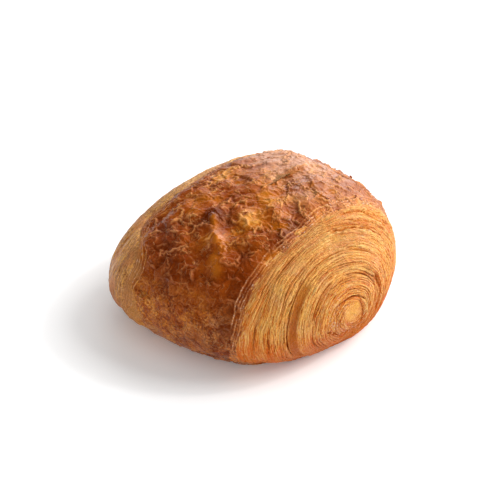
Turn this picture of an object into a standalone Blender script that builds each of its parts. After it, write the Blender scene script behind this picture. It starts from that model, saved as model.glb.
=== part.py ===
"""A pain au chocolat: one rolled, laminated, baked piece that rests on its flat base.

+X runs along the roll, +Y across it and +Z up. The origin is on the base, under the middle.
A browned crust wraps the belly. Past its rims the dough's cut ends swell out as domes, and the
edges of the dough's layers wind round each dome as one spiral, from its core out to the rim.
"""

import math

import bmesh
import bpy
from mathutils import Vector, noise

MM = 0.001

# The smooth form: half the length, the belly's section, and how the section changes along X
HALF_LENGTH = 50.0 * MM
HALF_WIDTH = 53.2 * MM
HEIGHT = 51.6 * MM
WIDEST_AT = 16.3 * MM
DEPTH_BELOW_WIDEST = 28.4 * MM
APEX_SHIFT = 11.1 * MM
TOP_ROUNDNESS = 2.0
BOTTOM_ROUNDNESS = 1.95
WIDTH_TAPER = -0.127
HEIGHT_TAPER = 0.083
HEIGHT_SAG = -0.066

# Each end: the dome's tip, how full the dome is along X and across it, and the crust's rim on it.
# The innermost turns of dough are tilted ovals round their own middle.
NEAR_END = {
    "tip": (-5.3 * MM, 23.2 * MM),
    "along": 2.91,
    "across": 1.93,
    "rim": 0.884,
    "middle": (-2.9 * MM, 20.2 * MM),
    "oval": (45.5 * MM, 41.5 * MM),
    "tilt": -0.61,
}
FAR_END = {
    "tip": (1.1 * MM, 14.8 * MM),
    "along": 2.48,
    "across": 2.48,
    "rim": 0.884,
    "middle": (2.0 * MM, 17.5 * MM),
    "oval": (44.0 * MM, 36.0 * MM),
    "tilt": -0.35,
}
OVAL_BLEND = 1.88

# The wound layers: the share of the section that one wrap of the dough takes, and its relief
WRAP_PITCH = 0.196
RINGS_PER_WRAP = 8
SEGMENTS = 60
GAP_RING = 5
GAP_DEPTH = 1.0 * MM
LAYER_RELIEF = 0.55 * MM
LAYER_WANDER = 0.25 * MM
LAYER_WANDER_SIZE = 9.0 * MM

# On the near end the outer turn has opened away from the next one, between these angles
GROOVE_WRAP = 3
GROOVE_RINGS = (3, 4)
GROOVE_FROM = math.radians(125.0)
GROOVE_TO = math.radians(225.0)
GROOVE_SOFTNESS = math.radians(15.0)

# The crust: rings along it, its step down to the layers, and its blisters
CRUST_RINGS = 18
CRUST_THICKNESS = 1.0 * MM
RIM_STEP_POWER = 4.0
CRUST_RIM_WANDER = 1.5 * MM
BLISTER_SIZE = 9.0 * MM
BLISTER_HEIGHT = 1.5 * MM
MEAN_BLISTER = 0.5
SWELL_SIZE = 26.0 * MM
SWELL_HEIGHT = 0.9 * MM

# Large folds of the crust, each from one point to another: half its width, and its height
FOLDS = (
    {"from": (1.1, 10.6), "to": (27.0, -8.7), "half_width": 3.5, "height": -1.2},
    {"from": (-20.0, 17.0), "to": (1.1, 10.6), "half_width": 4.0, "height": -1.0},
    {"from": (-5.4, -20.2), "to": (12.5, -34.3), "half_width": 3.5, "height": 1.1},
    {"from": (-19.0, 32.0), "to": (-2.0, 26.0), "half_width": 7.0, "height": 1.3},
)

DOME_PASSES = 3
DOME_HALVINGS = 18
SNAP_TO_BASE = 0.15 * MM
WELD = 0.001 * MM
CRUST_COLOUR = (0.42, 0.16, 0.04, 1.0)
CRUST_ROUGHNESS = 0.45


def clear_scene():
    """Removes what the startup scene holds."""
    for obj in list(bpy.data.objects):
        bpy.data.objects.remove(obj)


def bent(value, power):
    """A cosine or sine raised to a power, with its sign kept: a superellipse's coordinate."""
    return math.copysign(abs(value) ** power, value)


def end_at(x):
    """The end that a point at this x belongs to."""
    return NEAR_END if x >= 0.0 else FAR_END


def share_at(x):
    """The section's size at x, as a share of the belly's."""
    end = end_at(x)
    along = min(1.0, abs(x) / HALF_LENGTH)
    return (1.0 - along ** end["along"]) ** (1.0 / end["across"])


def x_at(end, share):
    """How far from the belly the section has this share of the belly's size, on one end."""
    return HALF_LENGTH * max(0.0, 1.0 - share ** end["across"]) ** (1.0 / end["along"])


def form(x, share, angle):
    """A point of the smooth form: at x, where the section has this share, at an angle from +Y."""
    along = x / HALF_LENGTH
    half_width = HALF_WIDTH * (1.0 + WIDTH_TAPER * along)
    height = HEIGHT * (1.0 + HEIGHT_TAPER * along + HEIGHT_SAG * along * along)
    rise, side = math.sin(angle), math.cos(angle)
    power = 2.0 / (TOP_ROUNDNESS if rise > 0.0 else BOTTOM_ROUNDNESS)
    reach = half_width + (APEX_SHIFT if side < 0.0 else -APEX_SHIFT)
    lift = height - WIDEST_AT if rise > 0.0 else DEPTH_BELOW_WIDEST
    y = APEX_SHIFT + reach * bent(side, power)
    z = WIDEST_AT + lift * bent(rise, power)
    tip_y, tip_z = end_at(x)["tip"]
    # Halfway along, the two ends' tips would differ, but there the share is 1 and they drop out.
    return Vector((x, tip_y + (y - tip_y) * share, tip_z + (z - tip_z) * share))


def turn_of_dough(end, sign, rim, size, angle):
    """Where a turn of this size lies across the end: an oval near the middle, the section at the rim."""
    middle_y, middle_z = end["middle"]
    wide, high = end["oval"]
    tilt = end["tilt"]
    side, rise = wide * math.cos(angle - tilt), high * math.sin(angle - tilt)
    oval_y = middle_y + size * (side * math.cos(tilt) - rise * math.sin(tilt))
    oval_z = middle_z + size * (side * math.sin(tilt) + rise * math.cos(tilt))
    outer = form(sign * x_at(end, size), size, angle)
    blend = (size / rim) ** OVAL_BLEND
    return oval_y + (outer.y - oval_y) * blend, oval_z + (outer.z - oval_z) * blend


def on_dome(end, sign, y, z):
    """The x, share and angle at which the end's dome passes through this y and z."""
    tip_y, tip_z = end["tip"]
    heading = math.atan2(z - tip_z, y - tip_y)
    distance = math.hypot(y - tip_y, z - tip_z)
    x, share, angle = sign * HALF_LENGTH, 0.0, heading
    for _ in range(DOME_PASSES):
        low, high = heading - math.pi / 2.0, heading + math.pi / 2.0
        for _ in range(DOME_HALVINGS):
            angle = (low + high) / 2.0
            edge = form(x, 1.0, angle)
            turned = math.atan2(edge.z - tip_z, edge.y - tip_y) - heading
            if math.remainder(turned, math.tau) > 0.0:
                high = angle
            else:
                low = angle
        share = distance / math.hypot(edge.y - tip_y, edge.z - tip_z)
        x = sign * x_at(end, share)
    return x, share, angle


def outward(x, share, angle):
    """The smooth form's outward normal, from points close by along and around it."""
    step_angle = 0.01
    step_share = 0.01
    end = end_at(x)
    sign = 1.0 if x >= 0.0 else -1.0
    inner = max(0.02, share - step_share)
    outer = min(1.0, share + step_share)
    along = form(sign * x_at(end, inner), inner, angle) - form(sign * x_at(end, outer), outer, angle)
    before = form(x, max(share, 0.05), angle - step_angle)
    around = form(x, max(share, 0.05), angle + step_angle) - before
    normal = around.cross(along) * sign
    return normal.normalized()


def wander(point, size, seed):
    """Smooth noise from -1 to 1 that changes over this size."""
    return noise.noise(point / size + Vector((seed, seed * 1.7, -seed)))


def fold_height(point):
    """What the crust's large folds add at a point, by its distance from each fold's line."""
    total = 0.0
    for fold in FOLDS:
        start = Vector(fold["from"]) * MM
        run = Vector(fold["to"]) * MM - start
        offset = Vector(point.xy) - start
        near = max(0.0, min(1.0, offset.dot(run) / run.length_squared))
        distance = (offset - run * near).length / (fold["half_width"] * MM)
        if point.z > WIDEST_AT:
            total += fold["height"] * MM * math.exp(-distance * distance)
    return total


def crust_relief(point):
    """How far the crust stands off the smooth form: swells, blisters and folds."""
    swell = SWELL_HEIGHT * wander(point, SWELL_SIZE, 3.0)
    blister = BLISTER_HEIGHT * (2.0 * abs(wander(point, BLISTER_SIZE, 7.0)) - MEAN_BLISTER)
    return swell + blister + fold_height(point)


def groove(end, ring, angle):
    """How far open the groove between two turns is at this ring, from 0 to 1."""
    if end is not NEAR_END or ring - GROOVE_WRAP * RINGS_PER_WRAP not in GROOVE_RINGS:
        return 0.0
    opened = (angle - GROOVE_FROM) / GROOVE_SOFTNESS
    closed = (GROOVE_TO - angle) / GROOVE_SOFTNESS
    return max(0.0, min(1.0, opened, closed))


def layer_relief(point, end, ring, share, angle):
    """How far a layer's edge stands off the dome: every other ring is a ridge, one a gap."""
    place = ring % RINGS_PER_WRAP
    if place == GAP_RING:
        height = -GAP_DEPTH
    else:
        height = LAYER_RELIEF * (1.0 if place % 2 == 0 else -0.6)
    height += (-GAP_DEPTH - height) * groove(end, ring, angle)
    swell = SWELL_HEIGHT * wander(point, SWELL_SIZE, 3.0)
    fade = min(1.0, share / WRAP_PITCH)
    wavy = LAYER_WANDER * wander(point, LAYER_WANDER_SIZE, 11.0)
    return swell + fade * (height + wavy) - CRUST_THICKNESS * share**RIM_STEP_POWER


def add_grid(bm, rings, place):
    """Adds a grid of rings by SEGMENTS faces, each corner put where place(ring, angle) says."""
    made = bmesh.ops.create_grid(bm, x_segments=rings, y_segments=SEGMENTS, size=0.5)
    for vertex in made["verts"]:
        ring = round((vertex.co.x + 0.5) * rings)
        segment = round((vertex.co.y + 0.5) * SEGMENTS)
        vertex.co = place(ring, segment % SEGMENTS, segment // SEGMENTS)


def rim_x(end, sign, segment):
    """Where the crust's rim is at this segment: the rim wanders a little along X."""
    angle = math.tau * segment / SEGMENTS
    x = sign * x_at(end, end["rim"])
    return x + CRUST_RIM_WANDER * wander(form(x, end["rim"], angle), BLISTER_SIZE * 2.0, 17.0)


def add_wound_dome(bm, end, sign):
    """Adds one end: a grid whose rings follow the spiral, so that each ring is one layer's edge.

    Ring r at the turn's start is one wrap further out at its end, where it meets ring r plus
    RINGS_PER_WRAP. Rings that would pass the core or the rim gather there and are welded.
    """
    wraps = end["rim"] / WRAP_PITCH
    rings = math.ceil(RINGS_PER_WRAP * (wraps + 1.0))

    def place(ring, segment, whole_turn):
        turn = whole_turn + segment / SEGMENTS
        angle = math.tau * segment / SEGMENTS
        rim = share_at(rim_x(end, sign, segment))
        size = WRAP_PITCH * (ring / RINGS_PER_WRAP + turn - 1.0)
        if size >= rim:
            return form(sign * x_at(end, rim), rim, angle)
        size = max(0.0, size)
        x, share, heading = on_dome(end, sign, *turn_of_dough(end, sign, rim, size, angle))
        point = form(x, share, heading)
        relief = layer_relief(point, end, ring, size, angle)
        return point + outward(x, share, heading) * relief

    add_grid(bm, rings, place)


def add_crust(bm):
    """Adds the belly's crust between the two rims, where it steps down to the layers."""

    def place(ring, segment, whole_turn):
        angle = math.tau * segment / SEGMENTS
        start = rim_x(NEAR_END, 1.0, segment)
        finish = rim_x(FAR_END, -1.0, segment)
        if ring in (0, CRUST_RINGS):
            x = start if ring == 0 else finish
            return form(x, share_at(x), angle)
        x = start + (finish - start) * (ring - 1) / (CRUST_RINGS - 2)
        point = form(x, share_at(x), angle)
        return point + outward(x, share_at(x), angle) * crust_relief(point)

    add_grid(bm, CRUST_RINGS, place)


def flatten_base(bm):
    """Cuts the form off at the surface it was baked on, and closes the cut with one face."""
    for vertex in bm.verts:
        if abs(vertex.co.z) < SNAP_TO_BASE:
            vertex.co.z = 0.0
    parts = bm.verts[:] + bm.edges[:] + bm.faces[:]
    bmesh.ops.bisect_plane(
        bm, geom=parts, dist=WELD, plane_co=(0, 0, 0), plane_no=(0, 0, -1), clear_outer=True
    )
    open_edges = [edge for edge in bm.edges if edge.is_boundary]
    bmesh.ops.holes_fill(bm, edges=open_edges, sides=0)


def crust_material():
    """The crust's colour and its dull gloss."""
    material = bpy.data.materials.new("baked_crust")
    material.use_nodes = True
    shader = material.node_tree.nodes["Principled BSDF"]
    shader.inputs["Base Color"].default_value = CRUST_COLOUR
    shader.inputs["Roughness"].default_value = CRUST_ROUGHNESS
    shader.inputs["Metallic"].default_value = 0.0
    return material


def build_roll():
    """Builds the one solid and puts it in a collection of its own."""
    bm = bmesh.new()
    add_wound_dome(bm, NEAR_END, 1.0)
    add_wound_dome(bm, FAR_END, -1.0)
    add_crust(bm)
    bmesh.ops.remove_doubles(bm, verts=bm.verts, dist=WELD)
    bmesh.ops.recalc_face_normals(bm, faces=bm.faces)
    flatten_base(bm)
    bmesh.ops.recalc_face_normals(bm, faces=bm.faces)
    mesh = bpy.data.meshes.new("pastry_roll")
    bm.to_mesh(mesh)
    bm.free()
    mesh.shade_smooth()
    mesh.materials.append(crust_material())
    roll = bpy.data.objects.new("pastry_roll", mesh)
    collection = bpy.data.collections.new("pain_au_chocolat")
    bpy.context.scene.collection.children.link(collection)
    collection.objects.link(roll)


clear_scene()
build_roll()
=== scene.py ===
"""The looks of a pain au chocolat: its crust, its wound ends, its flakes, and the light on it.

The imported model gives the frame: +X runs along the roll, +Y across it and +Z up, in metres, with
the origin on the base. The roll's smooth form is worked out here from the same sizes as the
solid's. Each skin is a fine grid on that form, raised by blisters, tears and layers.
"""

import logging
import math
from dataclasses import dataclass
from enum import Enum
from typing import Any, Iterable

import bpy
import numpy as np
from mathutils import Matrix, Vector, noise


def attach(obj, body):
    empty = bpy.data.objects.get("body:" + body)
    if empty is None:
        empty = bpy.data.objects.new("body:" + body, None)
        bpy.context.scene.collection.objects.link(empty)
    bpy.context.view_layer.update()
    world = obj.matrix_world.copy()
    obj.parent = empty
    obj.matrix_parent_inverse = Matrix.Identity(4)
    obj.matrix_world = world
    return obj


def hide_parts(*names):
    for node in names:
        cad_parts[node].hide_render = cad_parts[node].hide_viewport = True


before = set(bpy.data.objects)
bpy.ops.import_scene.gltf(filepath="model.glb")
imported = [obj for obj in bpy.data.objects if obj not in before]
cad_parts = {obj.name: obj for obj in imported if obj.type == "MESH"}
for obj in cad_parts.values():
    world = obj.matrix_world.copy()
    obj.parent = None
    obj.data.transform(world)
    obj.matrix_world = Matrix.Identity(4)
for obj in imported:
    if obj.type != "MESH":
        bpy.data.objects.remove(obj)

log = logging.getLogger("pain_au_chocolat")

Field = np.ndarray
Colour = tuple[float, float, float, float]

MM = 0.001
BODY = "root"
NODE = "pastry_roll"
ALONG_ROLL = np.array((0.72, 1.0, 1.0))
MEETING = 0.002 * MM
TINY = 1e-12
WHITE: Colour = (1.0, 1.0, 1.0, 1.0)


def srgb(red: int, green: int, blue: int) -> Colour:
    """The linear colour of a display colour given as three numbers up to 255.

    Args:
        red: Its red part.
        green: Its green part.
        blue: Its blue part.

    Returns:
        The linear colour with full opacity.
    """
    parts = [value / 255.0 for value in (red, green, blue)]
    linear = [p / 12.92 if p <= 0.04045 else ((p + 0.055) / 1.055) ** 2.4 for p in parts]
    return linear[0], linear[1], linear[2], 1.0


def wander(points: Field, size: float, seed: float) -> Field:
    """Smooth noise from -1 to 1 over an array of points.

    Args:
        points: Points in metres, in an array whose last axis is x, y, z.
        size: How far apart its hills lie, in metres.
        seed: Which noise of this size.

    Returns:
        One value a point.
    """
    shifted = points.reshape(-1, 3) / size + np.array((seed, seed * 1.7, -seed))
    values = [noise.noise(place) for place in shifted.tolist()]
    return np.array(values).reshape(points.shape[:-1])


def held(value: Field) -> Field:
    """A value kept between 0 and 1."""
    return np.clip(value, 0.0, 1.0)


def smooth(value: Field) -> Field:
    """Eases a value from 0 to 1 and holds it outside that range."""
    inside = held(value)
    return inside * inside * (3.0 - 2.0 * inside)


def rise(value: Field, start: float, length: float) -> Field:
    """Eases from 0 where the value is at the start to 1 where it is a length further on."""
    return smooth((value - start) / length)


def hump(value: Field) -> Field:
    """A rounded hump: 1 where the value is 0, and nothing from about 2 on both sides."""
    return np.exp(-value * value)


def bent(value: Field, power: Field) -> Field:
    """A cosine or sine raised to a power, with its sign kept: a superellipse's coordinate."""
    return np.copysign(np.abs(value) ** power, value)


@dataclass(frozen=True)
class RollEnd:
    """One end of the roll: how its dome closes, and how its dough is wound.

    Attributes:
        sign: 1 for the end at +X and -1 for the other.
        tip: The y and z of the dome's tip.
        along: How full the dome is along X.
        across: How full it is across X.
        rim: The section's share of the belly's at which the crust ends.
        middle: The y and z round which the innermost turns are wound.
        oval: Half the width and half the height of those turns at full size.
        tilt: How far their ovals lean.
    """

    sign: float
    tip: tuple[float, float]
    along: float
    across: float
    rim: float
    middle: tuple[float, float]
    oval: tuple[float, float]
    tilt: float


NEAR_END = RollEnd(
    sign=1.0,
    tip=(-5.3 * MM, 23.2 * MM),
    along=2.91,
    across=1.93,
    rim=0.884,
    middle=(-2.9 * MM, 20.2 * MM),
    oval=(45.5 * MM, 41.5 * MM),
    tilt=-0.61,
)
FAR_END = RollEnd(
    sign=-1.0,
    tip=(1.1 * MM, 14.8 * MM),
    along=2.48,
    across=2.48,
    rim=0.884,
    middle=(2.0 * MM, 17.5 * MM),
    oval=(44.0 * MM, 36.0 * MM),
    tilt=-0.35,
)


@dataclass(frozen=True)
class RollForm:
    """The smooth form of the whole roll, which the skins are raised from.

    Attributes:
        half_length: Half the roll's length along X.
        half_width: Half the belly's width.
        height: The belly's height.
        widest_at: The height at which the belly is widest.
        depth_below_widest: How deep the section would go if nothing had flattened it.
        apex_shift: How far the top lies to +Y.
        top_roundness: How full the section is above its widest place.
        bottom_roundness: How full it is below.
        width_taper: How the width changes along X.
        height_taper: How the height changes along X.
        height_sag: How much lower both ends are than the belly.
        oval_blend: How late the ovals of the inner turns become the section's own shape.
        swell_size: How far apart the broad swells lie.
        swell_height: How high they stand.
    """

    half_length: float = 50.0 * MM
    half_width: float = 53.2 * MM
    height: float = 51.6 * MM
    widest_at: float = 16.3 * MM
    depth_below_widest: float = 28.4 * MM
    apex_shift: float = 11.1 * MM
    top_roundness: float = 2.0
    bottom_roundness: float = 1.95
    width_taper: float = -0.127
    height_taper: float = 0.083
    height_sag: float = -0.066
    oval_blend: float = 1.88
    swell_size: float = 26.0 * MM
    swell_height: float = 0.9 * MM

    def x_at(self, end: RollEnd, share: Field) -> Field:
        """How far from the belly the section has this share of the belly's size."""
        closed = np.maximum(0.0, 1.0 - share**end.across)
        return end.sign * self.half_length * closed ** (1.0 / end.along)

    def share_at(self, x: Field) -> Field:
        """The section's size at x, as a share of the belly's."""
        along = np.where(x >= 0.0, NEAR_END.along, FAR_END.along)
        across = np.where(x >= 0.0, NEAR_END.across, FAR_END.across)
        reach = np.minimum(1.0, np.abs(x) / self.half_length)
        return (1.0 - reach**along) ** (1.0 / across)

    def point(self, x: Field, share: Field, angle: Field) -> Field:
        """Points of the form.

        Args:
            x: Where along the roll.
            share: The section's share of the belly's there.
            angle: The angle from +Y.

        Returns:
            The points, with x, y and z on a last axis.
        """
        along = x / self.half_length
        half_width = self.half_width * (1.0 + self.width_taper * along)
        height = self.height * (1.0 + self.height_taper * along + self.height_sag * along**2)
        side, rise = np.cos(angle), np.sin(angle)
        top = rise > 0.0
        power = np.where(top, 2.0 / self.top_roundness, 2.0 / self.bottom_roundness)
        reach = half_width + np.where(side < 0.0, self.apex_shift, -self.apex_shift)
        lift = np.where(top, height - self.widest_at, self.depth_below_widest)
        y = self.apex_shift + reach * bent(side, power)
        z = self.widest_at + lift * bent(rise, power)
        tip_y = np.where(x >= 0.0, NEAR_END.tip[0], FAR_END.tip[0])
        tip_z = np.where(x >= 0.0, NEAR_END.tip[1], FAR_END.tip[1])
        parts = (x, tip_y + (y - tip_y) * share, tip_z + (z - tip_z) * share)
        return np.stack(np.broadcast_arrays(*parts), axis=-1)

    def turn_of_dough(self, end: RollEnd, size: Field, angle: Field) -> tuple[Field, Field]:
        """Where a turn of this size lies across an end.

        Args:
            end: Which end.
            size: The turn's size, as a share of the belly's section.
            angle: The angle round the end from +Y.

        Returns:
            Its y and z: on an oval near the middle, and on the section at the crust's rim.
        """
        wide, high = end.oval
        side, rise = wide * np.cos(angle - end.tilt), high * np.sin(angle - end.tilt)
        cos_tilt, sin_tilt = math.cos(end.tilt), math.sin(end.tilt)
        oval_y = end.middle[0] + size * (side * cos_tilt - rise * sin_tilt)
        oval_z = end.middle[1] + size * (side * sin_tilt + rise * cos_tilt)
        outer = self.point(self.x_at(end, size), size, angle)
        blend = np.minimum(1.0, size / end.rim) ** self.oval_blend
        return oval_y + (outer[..., 1] - oval_y) * blend, oval_z + (outer[..., 2] - oval_z) * blend

    def on_dome(self, end: RollEnd, y: Field, z: Field) -> tuple[Field, Field, Field]:
        """Finds where an end's dome passes through these y and z.

        Args:
            end: Which end.
            y: Where across the roll.
            z: How high.

        Returns:
            The x, the section's share and the angle there.
        """
        passes, halvings = 3, 18
        tip_y, tip_z = end.tip
        heading = np.arctan2(z - tip_z, y - tip_y)
        distance = np.hypot(y - tip_y, z - tip_z)
        x = np.full_like(y, end.sign * self.half_length)
        share, angle = np.zeros_like(y), heading
        for _ in range(passes):
            low, high = heading - math.pi / 2.0, heading + math.pi / 2.0
            for _ in range(halvings):
                angle = (low + high) / 2.0
                edge = self.point(x, np.ones_like(x), angle)
                turned = np.arctan2(edge[..., 2] - tip_z, edge[..., 1] - tip_y) - heading
                past = (turned + math.pi) % math.tau > math.pi
                low, high = np.where(past, low, angle), np.where(past, angle, high)
            share = distance / np.hypot(edge[..., 1] - tip_y, edge[..., 2] - tip_z)
            x = self.x_at(end, share)
        return x, share, angle

    def outward_on_dome(self, end: RollEnd, x: Field, share: Field, angle: Field) -> Field:
        """The outward direction on an end's dome, from points close by.

        Args:
            end: Which end.
            x: Where along the roll.
            share: The section's share there.
            angle: The angle from +Y.

        Returns:
            Unit vectors on a last axis.
        """
        step, innermost, least_round = 0.01, 0.02, 0.05
        inner = np.maximum(innermost, share - step)
        outer = np.minimum(1.0, share + step)
        along = self.point(self.x_at(end, inner), inner, angle)
        along -= self.point(self.x_at(end, outer), outer, angle)
        ringed = np.maximum(share, least_round)
        around = self.point(x, ringed, angle + step) - self.point(x, ringed, angle - step)
        return unit(np.cross(around, along) * end.sign)

    def swell(self, points: Field) -> Field:
        """How high the broad swells stand at each point, of the crust and the ends alike."""
        return self.swell_height * wander(points, self.swell_size, 3.0)

    def outward_on_belly(self, x: Field, angle: Field) -> Field:
        """The outward direction on the belly at x and an angle from +Y."""
        step, turn = 0.5 * MM, 0.01
        along = self.point(x + step, self.share_at(x + step), angle)
        along -= self.point(x - step, self.share_at(x - step), angle)
        share = self.share_at(x)
        around = self.point(x, share, angle + turn) - self.point(x, share, angle - turn)
        return unit(np.cross(around, along))


FORM = RollForm()


def unit(vectors: Field) -> Field:
    """Vectors brought to a length of 1."""
    length = np.linalg.norm(vectors, axis=-1, keepdims=True)
    return vectors / np.maximum(length, TINY)


@dataclass(frozen=True)
class Rim:
    """The crust's edge at one end: it wanders slowly, and is torn finely.

    Attributes:
        end: Which end.
        torn: How far apart its tears lie and how far they reach, coarse and fine.
        rings: How far from the edge each dried line parallel to it lies.
        stray: How far those lines stray.
        bulges: Round which angles the crust reaches further over the end, over which, and how far.
        wander_size: How far apart its slow swings lie.
        wander_reach: How far they reach.
    """

    end: RollEnd
    torn: tuple[tuple[float, float], ...]
    rings: tuple[float, ...]
    stray: float
    bulges: tuple[tuple[float, float, float], ...]
    wander_size: float = 18.0 * MM
    wander_reach: float = 1.5 * MM

    def x(self, angle: Field) -> Field:
        """Where along the roll the crust ends, at each angle."""
        share = np.full_like(angle, self.end.rim)
        middle = FORM.x_at(self.end, share)
        edge = FORM.point(middle, share, angle)
        x = middle + self.wander_reach * wander(edge, self.wander_size, 17.0)
        for number, (size, reach) in enumerate(self.torn):
            x = x + reach * wander(edge, size, 51.0 + number)
        for middle_angle, half_width, reach in self.bulges:
            x = x + self.end.sign * reach * hump((np.degrees(angle) - middle_angle) / half_width)
        return x


NEAR_RIM = Rim(
    NEAR_END,
    torn=((4.5 * MM, 0.6 * MM), (1.7 * MM, 0.18 * MM)),
    rings=(0.6 * MM, 1.3 * MM, 2.1 * MM, 3.2 * MM, 4.6 * MM),
    stray=0.3 * MM,
    bulges=((163.0, 16.0, 1.8 * MM),),
)
FAR_RIM = Rim(
    FAR_END,
    torn=((4.5 * MM, 0.9 * MM), (1.7 * MM, 0.45 * MM)),
    rings=(0.9 * MM, 1.9 * MM, 3.1 * MM, 4.6 * MM, 6.6 * MM),
    stray=0.7 * MM,
    bulges=(
        (105.0, 38.0, 5.2 * MM),
        (130.0, 9.0, 5.0 * MM),
        (153.0, 13.0, -6.2 * MM),
        (178.0, 18.0, -6.0 * MM),
    ),
)


def join_corners() -> None:
    """Joins the active piece's corners that meet, and turns its faces outwards."""
    bpy.ops.object.mode_set(mode="EDIT")
    bpy.ops.mesh.select_all(action="SELECT")
    bpy.ops.mesh.remove_doubles(threshold=MEETING)
    bpy.ops.mesh.normals_make_consistent(inside=False)
    bpy.ops.object.mode_set(mode="OBJECT")


class Sheet:
    """A grid of faces made from Blender's grid primitive, whose corners are then placed."""

    def __init__(self, name: str, rows: int, columns: int) -> None:
        """Adds the flat grid.

        Args:
            name: The new piece's name.
            rows: How many faces it has one way.
            columns: How many it has the other way.
        """
        bpy.ops.object.select_all(action="DESELECT")
        bpy.ops.mesh.primitive_grid_add(x_subdivisions=rows, y_subdivisions=columns, size=1.0)
        self.piece = bpy.context.object
        self.piece.name = self.piece.data.name = name
        flat = np.empty(len(self.piece.data.vertices) * 3)
        self.piece.data.vertices.foreach_get("co", flat)
        flat = flat.reshape(-1, 3)
        self.row = np.rint((flat[:, 0] + 0.5) * rows).astype(int)
        self.column = np.rint((flat[:, 1] + 0.5) * columns).astype(int)

    def place(self, points: Field) -> None:
        """Puts each corner at its point, none of them below the surface it was baked on."""
        placed = points[self.row, self.column].copy()
        placed[:, 2] = np.maximum(placed[:, 2], 0.0)
        self.piece.data.vertices.foreach_set("co", placed.ravel())
        self.piece.data.update()

    def paint(self, name: str, values: Field) -> None:
        """Keeps one value for each corner under a name that the finish reads."""
        layer = self.piece.data.attributes.new(name, "FLOAT", "POINT")
        layer.data.foreach_set("value", held(values[self.row, self.column]))

    def close(self) -> None:
        """Joins the corners that meet, turns the faces outwards and shades them smooth."""
        join_corners()
        bpy.ops.object.shade_smooth()

    def close_beside(self, outward: Field, border: Field) -> None:
        """Closes the sheet, and shades its border as if the sheet beside it were one with it.

        Args:
            outward: The outward direction at each corner of the grid.
            border: Which corners lie on the border with the sheet beside it.
        """
        mesh = self.piece.data
        directions = np.where(border[..., None], outward, 0.0)[self.row, self.column]
        kept = mesh.attributes.new("outward", "FLOAT_VECTOR", "POINT")
        kept.data.foreach_set("vector", directions.ravel())
        self.close()
        kept = mesh.attributes["outward"]
        directions = np.empty((len(mesh.vertices), 3))
        kept.data.foreach_get("vector", directions.reshape(-1))
        mesh.attributes.remove(kept)
        own = np.empty((len(mesh.vertices), 3))
        mesh.vertex_normals.foreach_get("vector", own.reshape(-1))
        on_border = np.linalg.norm(directions, axis=1, keepdims=True) > 0.5
        mesh.normals_split_custom_set_from_vertices(np.where(on_border, directions, own).tolist())


@dataclass(frozen=True)
class Skin:
    """A whole grid of corners that is ready to be cut into pieces.

    Attributes:
        points: The corners' places.
        outward: The outward directions there.
        border: Which corners lie where two pieces meet.
        painted: What the finish reads at each corner, by name.
    """

    points: Field
    outward: Field
    border: Field
    painted: dict[str, Field]

    def piece(self, name: str, part: tuple[slice, slice]) -> bpy.types.Object:
        """Makes one piece.

        Args:
            name: Its name.
            part: Its rows and columns of the grid.

        Returns:
            The piece.
        """
        points = self.points[part]
        sheet = Sheet(name, points.shape[0] - 1, points.shape[1] - 1)
        sheet.place(points)
        for label, values in self.painted.items():
            sheet.paint(label, values[part])
        sheet.close_beside(self.outward[part], self.border[part])
        return sheet.piece


def softened(values: Field, reach: int) -> Field:
    """Values blurred over a grid that closes on itself the second way.

    Args:
        values: One value for each corner of the grid.
        reach: How many corners the blur reaches each way.

    Returns:
        The blurred values.
    """
    offsets = range(-reach, reach + 1)
    weights = np.array([hump(np.array(1.5 * offset / reach)) for offset in offsets])
    weights /= weights.sum()
    padded = np.pad(values, ((reach, reach), (0, 0)), mode="edge")
    rows = values.shape[0]
    blurred = sum(w * padded[start : start + rows] for start, w in enumerate(weights))
    return sum(w * np.roll(blurred, o, axis=1) for o, w in zip(offsets, weights))


def facing(points: Field, like: Field) -> Field:
    """The outward directions of a grid of points, on the side that the given ones point to."""
    across = np.cross(np.gradient(points, axis=0), np.gradient(points, axis=1))
    across *= np.where(np.sum(across * like, axis=-1, keepdims=True) < 0.0, -1.0, 1.0)
    drawn = np.linalg.norm(across, axis=-1, keepdims=True) > TINY
    return np.where(drawn, unit(across), like)


def spacing(points: Field, axis: int) -> Field:
    """How far apart a grid's corners lie along one of its axes."""
    return np.linalg.norm(np.gradient(points, axis=axis), axis=-1)


def from_line(places: Field, start: tuple[float, float], finish: tuple[float, float]) -> Field:
    """How far each place is from a straight line.

    Args:
        places: The places, with two coordinates on the last axis.
        start: The line's start, in millimetres.
        finish: Its end, in millimetres.

    Returns:
        The distances, in metres.
    """
    first = np.array(start) * MM
    run = np.array(finish) * MM - first
    offset = places - first
    along = held(offset @ run / (run @ run))
    return np.linalg.norm(offset - along[..., None] * run, axis=-1)


def laid(patches: Iterable["Patch"], points: Field) -> Field:
    """What several patches add together at each point."""
    return sum(patch.lay(points) for patch in patches)


@dataclass(frozen=True)
class Layout:
    """Where the corners of a grid lie on the smooth form, before any relief.

    Attributes:
        points: The places.
        outward: The outward directions.
    """

    points: Field
    outward: Field

    def distance_to(self, value: Field) -> Field:
        """How far each corner is, in metres, from where a value crosses nothing."""
        finest, flattest = 0.02 * MM, 30.0
        by_row = np.gradient(value, axis=0) / np.maximum(spacing(self.points, 0), finest)
        by_column = np.gradient(value, axis=1) / np.maximum(spacing(self.points, 1), finest)
        return value / np.maximum(np.hypot(by_row, by_column), flattest)


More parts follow.
